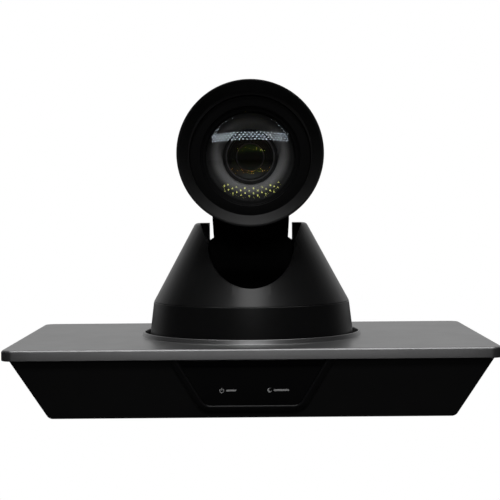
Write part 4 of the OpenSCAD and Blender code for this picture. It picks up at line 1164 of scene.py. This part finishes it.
    def threaded_bush(self) -> None:
        """The brass tripod bush, its bore ridged by a fine thread."""
        low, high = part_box("tripod_bush")
        bottom, top = low.z / MM, high.z / MM
        bore, wall, crest = self.bush_bore, self.bush_r, self.thread_depth
        turns = int((top - bottom) / self.thread_pitch) * 2
        thread = [Corner(bore + (crest if i % 2 else 0.0), top - 0.4 - (top - bottom - 0.8) * i / turns)
                  for i in range(turns + 1)]
        profile = [Corner(bore + 0.6, bottom), Corner(wall, bottom, 0.3), Corner(wall, top, 0.3),
                   Corner(bore + 0.6, top)] + thread
        shell = Shell("tripod_insert").upright(profile, (0.0, (low.y + high.y) / 2 / MM), 64)
        replace(shell.finish(FINISHES["brass"]), "tripod_bush")


# ------------------------------------------------------------------------------------------------- yoke


@dataclass
class YokeAssembly:
    """The yoke that pans: the skirt, the cone with its two arms, and the cheeks that close them."""

    skirt_r: float = 54.0
    waist_r: float = 51.2
    skirt_z: float = 30.0
    waist_z: float = 52.2
    wall: float = 2.2
    spigot_h: float = 2.4
    boss_ring_r: float = 40.6
    boss_r: float = 2.8
    boss_bore: float = 1.4

    def build(self) -> None:
        """Builds every piece of the yoke in order."""
        self.skirt()
        eased("yoke_shell", "yoke_cone", 0.4)
        eased("left_cheek", "cheek_left", 0.2)
        eased("right_cheek", "cheek_right", 0.2)

    def skirt(self) -> None:
        """The skirt below the cone, with a fine groove where the two meet."""
        r, top, w = self.waist_r, self.waist_z, self.wall
        profile = [Corner(self.skirt_r - w, self.skirt_z), Corner(self.skirt_r, self.skirt_z, 0.3),
                   Corner(r + 0.15, top - 0.5, 0.35), Corner(r - 0.45, top), Corner(r - w - 0.1, top),
                   Corner(r - w - 0.1, top + self.spigot_h, 0.2), Corner(r - 2 * w, top + self.spigot_h),
                   Corner(r - 2 * w, top - 2),
                   Corner(r - w, top - 4)]
        shell = Shell("skirt_band").upright(profile)
        for place in arc((0.0, 0.0), self.boss_ring_r, 45, 315, 3):
            shell.upright([Corner(self.boss_bore, self.skirt_z), Corner(self.boss_r, self.skirt_z),
                           Corner(self.boss_r, top), Corner(self.boss_bore, top)], place, 24)
        replace(shell.finish(FINISHES[slot_of("skirt_ring")], 30.0), "skirt_ring")


# ------------------------------------------------------------------------------------------------- head


@dataclass
class HeadAssembly:
    """The camera head: neck, barrel, hood, protective glass and the lens behind it."""

    axis_z: float = 127.8
    drop: float = 1.3
    hood_r: float = 36.3
    hood_y: float = -50.0
    hood_back: float = -20.0
    throat_r: float = 30.8
    rim_depth: float = 4.6
    ring_r: float = 30.0
    ring_y: float = -43.4
    ring_t: float = 2.4
    glass_r: float = 22.2
    glass_y: float = -41.0
    glass_curve: float = 74.0
    barrel_r: float = 31.5
    barrel_front: float = -30.0
    lens_r: float = 13.7
    lens_y: float = -33.4
    element_r: float = 11.5
    element_bulge: float = 2.4
    element_back: float = 2.4
    baffle_r: float = 10.25
    aperture_r: float = 6.25
    funnel_depth: float = 7.8
    funnel_wall: float = 1.5
    ring_screw: Screw = Screw(0.75, 0.35, 0.5, 1.2, arm=0.7, depth=0.8)

    def build(self) -> None:
        """Builds every piece of the head in order."""
        # The neck's finish is darkened partly as painted shade for the yoke's U.
        eased("neck_front", "neck_shell_front", 0.5)
        eased("neck_rear", "neck_shell_rear", 0.5)
        self.hood()
        self.ring()
        self.ring_screws()
        self.glass()
        self.cone()
        self.lens_nose()
        self.element()
        eased("rear_shell", "rear_cover", 0.3)

    @property
    def optic_z(self) -> float:
        """The height of the lens's axis."""
        return self.axis_z - self.drop

    def hood(self) -> None:
        """The hood: a rounded rim, a funnel that runs in to the ring, and a tapered skirt behind."""
        front, deep, low = self.hood_y, self.hood_y + self.rim_depth, self.drop
        seat, web, wall = self.ring_y + self.ring_t, self.ring_y + self.ring_t + 1.5, self.hood_r - 2.2
        barrel, recess = self.barrel_r + 0.05, self.ring_r + 0.2
        tube, bore = self.glass_r + 3.8, self.glass_r + 1.7
        profile = [
            Corner(self.hood_r, front, 1.5), Corner(self.hood_r, self.hood_back - 4, 1.0),
            Corner(self.hood_r - 3.1, self.hood_back, 0.5), Corner(barrel, self.hood_back),
            Corner(barrel, self.barrel_front), Corner(wall, self.barrel_front), Corner(wall, web),
            Corner(tube, web, 0.0, low), Corner(tube, self.barrel_front, 0.0, low),
            Corner(bore, self.barrel_front, 0.0, low), Corner(bore, seat, 0.0, low),
            Corner(recess, seat, 0.0, low), Corner(recess, deep + 0.2, 0.0, low),
            Corner(self.throat_r, deep, 0.5), Corner(self.hood_r - 1.2, front + 0.25, 0.6)]
        shell = Shell("hood_shell").turned(profile, self.axis_z, 224)
        replace(shell.finish(HOOD_BLACK, 26.0), "hood")

    def ring(self) -> None:
        """The ring that holds the glass, turned with two fine steps on its face."""
        y, t = self.ring_y, self.ring_t - 0.1
        land = self.glass_r + 2.6
        profile = [Corner(self.ring_r, y, 0.2), Corner(self.ring_r, y + t), Corner(self.glass_r, y + t),
                   Corner(self.glass_r, y + 1.5, 0.08), Corner(self.glass_r + 0.25, y + 1.2, 0.08),
                   Corner(self.glass_r + 1.6, y + 1.05, 0.08), Corner(self.glass_r + 1.8, y + 0.75, 0.08),
                   Corner(land - 0.3, y + 0.7, 0.08), Corner(land, y, 0.12)]
        shell = Shell("glass_ring").turned(profile, self.optic_z, 224)
        replace(shell.finish(RING_BLACK, 24.0), "retaining_ring")

    def ring_screws(self) -> None:
        """Six small screws around the ring."""
        screw = self.ring_screw.prototype()
        radius = (self.ring_r + self.glass_r) / 2 - 0.3
        piece = repeated("glass_ring_screws", Layout.RING, screw, FINISHES["screw_steel"], Count=6,
                         Radius=radius * MM, Turn=(math.radians(-90), math.radians(30), 0.0),
                         Place=(0.0, (self.ring_y + 0.1) * MM, self.optic_z * MM))
        removed(screw)
        replace(piece, "ring_screws")

    @staticmethod
    def dome(curve: float, apex: float, radius: float, steps: int) -> list[Corner]:
        """The profile of a spherical glass face.

        Args:
            curve: the sphere's radius.
            apex: where the face starts on the axis.
            radius: the face's own radius.
            steps: chords from the axis to its edge.

        Returns:
            Corners from the axis outwards.
        """
        edge = math.asin(radius / curve)
        turns = [edge * i / steps for i in range(steps + 1)]
        return [Corner(curve * math.sin(turn), apex + curve * (1 - math.cos(turn))) for turn in turns]

    def glass(self) -> None:
        """The domed protective glass, polished on both faces."""
        sag = self.glass_curve - math.sqrt(self.glass_curve ** 2 - self.glass_r ** 2)
        apex, rear = self.glass_y - sag + 0.1, self.glass_y + 2.0
        outer = self.dome(self.glass_curve, apex, self.glass_r - 0.1, 14)
        inner = self.dome(self.glass_curve, rear - sag, self.glass_r - 0.6, 14)
        profile = outer + [Corner(self.glass_r - 0.1, self.glass_y), Corner(self.glass_r + 1.6, self.glass_y),
                           Corner(self.glass_r + 1.6, rear)] + inner[::-1]
        shell = Shell("protective_glass").turned(profile, self.optic_z, 192)
        piece = replace(shell.finish(FINISHES["window_glass"], 20.0), "window_glass")
        piece.visible_shadow = False

    def cone(self) -> None:
        """The pale funnel that leads from the glass to the lens."""
        y0, wall = self.glass_y + 2.1, self.funnel_wall
        y1 = self.glass_y + 2.0 + self.funnel_depth
        seat = self.glass_r + 1.4
        deep, wide = y1 - y0, self.glass_r - self.lens_r
        bowl = [Corner(self.glass_r - wide * math.sin(t), y0 + deep * (1 - math.cos(t)))
                for t in (math.radians(7.5 * i) for i in range(1, 12))]
        profile = [Corner(self.glass_r, y0, 0.15), Corner(seat, y0, 0.1), Corner(seat, y0 + 2.1),
                   Corner(self.glass_r + 0.4, y0 + 2.1), Corner(self.lens_r + 2.6, y1 + wall),
                   Corner(self.lens_r + 0.15, y1 + wall), Corner(self.lens_r + 0.15, y1, 0.25)] + bowl[::-1]
        shell = Shell("lens_funnel").turned(profile, self.optic_z, 192)
        # Its finish paints shade on the funnel's outer part.
        replace(shell.finish(FINISHES["lens_grey"], 24.0), "lens_cone")

    def lens_nose(self) -> None:
        """What shows inside the lens: a black baffle, the rim of its aperture and the front element's rim."""
        y, wide, narrow, rim_r = self.lens_y, self.baffle_r, self.aperture_r, self.element_r + 0.05
        trim = Shell("lens_baffle").turned([
            Corner(wide, y + 5.9), Corner(wide, y + 6.9), Corner(narrow + 0.35, y + 7.6, 0.1),
            Corner(narrow, y + 7.4, 0.1), Corner(narrow, y + 7.0, 0.1), Corner(narrow + 0.45, y + 6.9),
            Corner(wide - 1.05, y + 6.2)], self.optic_z, 128)
        extra(trim.finish(FINISHES["lens_black"], 24.0), "head")
        rim = Shell("aperture_rim").turned([
            Corner(narrow + 0.05, y + 5.7), Corner(narrow - 0.15, y + 5.6), Corner(narrow - 0.15, y + 6.6),
            Corner(narrow + 0.35, y + 6.6), Corner(narrow + 0.35, y + 5.9)], self.optic_z, 96)
        extra(rim.finish(LENS_RIM, 24.0), "head")
        edge = Shell("lens_edge").turned([
            Corner(rim_r, y + 0.2), Corner(rim_r, y - 0.1, 0.1), Corner(rim_r + 0.7, y - 0.1, 0.1),
            Corner(rim_r + 0.7, y + 0.2)], self.optic_z, 128)
        extra(edge.finish(LENS_RIM, 24.0), "head")

    def element(self) -> None:
        """The bulging front element of the lens."""
        y0, bulge, r = self.lens_y + 0.8, self.element_bulge, self.element_r
        front = self.dome((r * r + bulge * bulge) / (2 * bulge), y0, r, 12)
        rear = y0 + bulge + self.element_back
        back = [Corner(r, rear), Corner(0.0, rear)]
        shell = Shell("front_lens").turned(front + back, self.optic_z, 128)
        piece = replace(shell.finish(FINISHES["coated_glass"], 20.0), "front_element")
        piece.visible_shadow = False


# ----------------------------------------------------------------------------------------------- studio


class Reach(Enum):
    """The pieces that a lamp lights alone, or those that it skips."""

    GLASS_ALONE = ("INCLUDE", ("protective_glass",))
    PLATE_ALONE = ("INCLUDE", ("cover_plate",))
    ALL_BUT_GLASS = ("EXCLUDE", ("protective_glass", "front_lens"))


@dataclass(frozen=True)
class Softbox:
    """A soft rectangular lamp: its place, its aim and its size in metres, and its strength in watts."""

    name: str
    place: Point3
    aim: Point3
    size: Point2
    power: float
    reach: Reach

    def hang(self) -> None:
        """Hangs the lamp so that it points at its aim."""
        data = bpy.data.lights.new(self.name, "AREA")
        data.shape = "RECTANGLE"
        data.size, data.size_y = self.size
        data.energy = self.power
        lamp = bpy.data.objects.new(self.name, data)
        bpy.context.scene.collection.objects.link(lamp)
        facing = (Vector(self.aim) - Vector(self.place)).to_track_quat("-Z", "Y").to_matrix().to_4x4()
        lamp.matrix_world = Matrix.Translation(self.place) @ facing
        lamp.visible_camera = False


@dataclass(frozen=True)
class LampPanel:
    """Small lamps in staggered rows that only the glass reflects.

    The place and the size are in metres and a lamp's width in millimetres. The bend says how fast the panel's
    ends rise, per metre.
    """

    name: str
    place: Point3
    size: Point2
    count: tuple[int, int]
    power: float
    colour: Point3
    lamp_w: float
    bend: float = 0.0
    reach: Reach = Reach.GLASS_ALONE

    def glow(self) -> bpy.types.Material:
        """Makes the lamps' own light, which isn't sampled as a lamp.

        Returns:
            The glowing material.
        """
        material = bpy.data.materials.new(self.name)
        material.use_nodes = True
        tree = material.node_tree
        light = add(tree, "ShaderNodeEmission", {"Color": (*self.colour, 1.0), "Strength": self.power})
        tree.links.new(light.outputs[0], tree.nodes["Material Output"].inputs["Surface"])
        material.cycles.emission_sampling = "NONE"
        return material

    def hang(self) -> None:
        """Sets out two grids of lamps, half a step apart, and bends the panel's ends up."""
        (columns, rows), (width, height), (x, y, z) = self.count, self.size, self.place
        lamp = bar_prototype((self.lamp_w, self.lamp_w, 4.0))
        across, up = width / (columns - 1) / 4, height / (rows - 1) / 4
        grids = [repeated(self.name, Layout.GRID, lamp, INK, Columns=columns, Rows=rows, Width=width,
                          Height=height, Turn=(math.radians(90), 0.0, 0.0),
                          Place=(x + side * across, y, z + side * up)) for side in (-1, 1)]
        removed(lamp)
        panel = joined(self.name, grids)
        panel.name = self.name
        for point in panel.data.vertices:
            point.co.z += self.bend * point.co.x ** 2
        panel.data.materials[0] = self.glow()
        panel.visible_camera = False
        panel.visible_shadow = False
        panel.visible_diffuse = False


@dataclass
class Studio:
    """The camera, the pale floor, the soft lights and the dotted panels that only reflections show."""

    camera_at: Point3 = (0.64, -742.27, 102.67)
    tilt_down: float = 1.862
    turn: float = 0.0016
    roll: float = -0.0084
    lens: float = 101.4
    fill: float = 0.008
    back: float = 0.6
    floor_half: float = 6.0
    lamps: tuple[Softbox | LampPanel, ...] = (
        Softbox("overhead softbox", (0.0, 0.05, 1.3), (0.0, 0.0, 0.0), (1.1, 0.8), 11.0, Reach.ALL_BUT_GLASS),
        Softbox("key softbox", (0.0, -0.85, 1.35), (0.0, 0.0, 0.05), (0.6, 0.4), 5.2, Reach.ALL_BUT_GLASS),
        Softbox("front softbox", (0.0, -1.6, 0.66), (0.0, 0.0, 0.12), (0.6, 0.25), 0.6, Reach.ALL_BUT_GLASS),
        Softbox("plate softbox", (0.0, -1.3, 0.16), (0.0, 0.0, 0.03), (0.5, 0.3), 0.9, Reach.PLATE_ALONE),
        LampPanel("lamp row", (0.0, -1.6, 0.66), (1.9, 0.113), (22, 2), 8.0, (0.78, 0.88, 1.0), 20.0),
        LampPanel("low lamp row", (0.002, -0.16, 0.048), (0.118, 0.0135), (7, 2), 2.6, (0.75, 0.8, 0.2), 2.6,
                  2.65))

    def build(self) -> None:
        """Builds the stage in order."""
        self.camera()
        self.world()
        self.floor()
        for lamp in self.lamps:
            lamp.hang()

    def camera(self) -> None:
        """The camera that stands in front of the hood, a little above the arms."""
        data = bpy.data.cameras.new("camera")
        data.lens, data.sensor_width = self.lens, 36.0
        data.clip_start, data.clip_end = 0.01, 50.0
        view = bpy.data.objects.new("camera", data)
        bpy.context.scene.collection.objects.link(view)
        pitch = Matrix.Rotation(math.radians(90 - self.tilt_down), 4, "X")
        turned = Matrix.Rotation(self.turn, 4, "Z") @ pitch @ Matrix.Rotation(self.roll, 4, "Z")
        view.matrix_world = Matrix.Translation(Vector(self.camera_at) * MM) @ turned
        bpy.context.scene.camera = view

    def world(self) -> None:
        """White behind the object, and a dim grey room for everything that reflects."""
        world = bpy.data.worlds.new("studio")
        world.use_nodes = True
        tree = world.node_tree
        place = add(tree, "ShaderNodeTexCoord")
        parts = add(tree, "ShaderNodeSeparateXYZ", {0: place.outputs["Generated"]})
        behind = add(tree, "ShaderNodeMapRange", {
            "Value": parts.outputs["Y"], "From Min": 0.35, "From Max": 1.0, "To Min": self.fill,
            "To Max": self.back}, interpolation_type="SMOOTHSTEP")
        room = tree.nodes["Background"]
        tree.links.new(behind.outputs["Result"], room.inputs["Strength"])
        room.inputs["Color"].default_value = (1.0, 1.0, 1.0, 1.0)
        white = add(tree, "ShaderNodeBackground", {"Color": (1.0, 1.0, 1.0, 1.0), "Strength": 1.0})
        path = add(tree, "ShaderNodeLightPath")
        seen = add(tree, "ShaderNodeMixShader", {0: path.outputs["Is Camera Ray"], 1: room.outputs[0],
                                                 2: white.outputs[0]})
        tree.links.new(seen.outputs[0], tree.nodes["World Output"].inputs["Surface"])
        bpy.context.scene.world = world
        bpy.context.scene.view_settings.view_transform = "Standard"

    def floor(self) -> None:
        """A pale floor: white to the camera, dark grey to reflections and clear from below."""
        mesh = bpy.data.meshes.new("floor")
        half = self.floor_half
        corners = [(-half, -half, 0), (half, -half, 0), (half, half, 0), (-half, half, 0)]
        mesh.from_pydata(corners, [], [(0, 1, 2, 3)])
        floor = bpy.data.objects.new("floor", mesh)
        bpy.context.scene.collection.objects.link(floor)
        material = bpy.data.materials.new("Pale floor")
        material.use_nodes = True
        tree = material.node_tree
        matt = tree.nodes["Principled BSDF"]
        matt.inputs["Base Color"].default_value = (0.03, 0.03, 0.03, 1.0)
        matt.inputs["Roughness"].default_value = 0.9
        matt.inputs["Specular IOR Level"].default_value = 0.0
        pale = add(tree, "ShaderNodeEmission", {"Color": (1.0, 1.0, 1.0, 1.0), "Strength": 1.0})
        path = add(tree, "ShaderNodeLightPath")
        seen = add(tree, "ShaderNodeMixShader", {0: path.outputs["Is Camera Ray"], 1: matt.outputs[0],
                                                 2: pale.outputs[0]})
        side = add(tree, "ShaderNodeNewGeometry")
        clear = add(tree, "ShaderNodeBsdfTransparent")
        whole = add(tree, "ShaderNodeMixShader", {0: side.outputs["Backfacing"], 1: seen.outputs[0],
                                                  2: clear.outputs[0]})
        tree.links.new(whole.outputs[0], tree.nodes["Material Output"].inputs["Surface"])
        mesh.materials.append(material)

    def link_lamps(self) -> None:
        """Limits every lamp to the pieces that it lights, once they are all built."""
        for lamp in self.lamps:
            state, pieces = lamp.reach.value
            group = bpy.data.collections.new(lamp.name + " reach")
            for piece in pieces:
                group.objects.link(bpy.data.objects[piece])
            for entry in group.collection_objects:
                entry.light_linking.link_state = state
            bpy.data.objects[lamp.name].light_linking.receiver_collection = group


# ------------------------------------------------------------------------------------------------- main


def dress_nodes() -> None:
    """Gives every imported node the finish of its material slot."""
    for name, node in frame["nodes"].items():
        finish = FINISHES[slot_of(name)].material()
        if not node.material_slots:
            node.data.materials.append(finish)
        for slot in node.material_slots:
            slot.material = finish
        LOG.info("%s: dressed as %s", name, finish.name)


def main() -> None:
    """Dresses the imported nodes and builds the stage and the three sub-assemblies."""
    logging.basicConfig(level=logging.INFO, format="%(message)s")
    studio = Studio()
    studio.build()
    dress_nodes()
    BaseAssembly().build()
    YokeAssembly().build()
    HeadAssembly().build()
    studio.link_lamps()


if __name__ == "__main__":
    main()
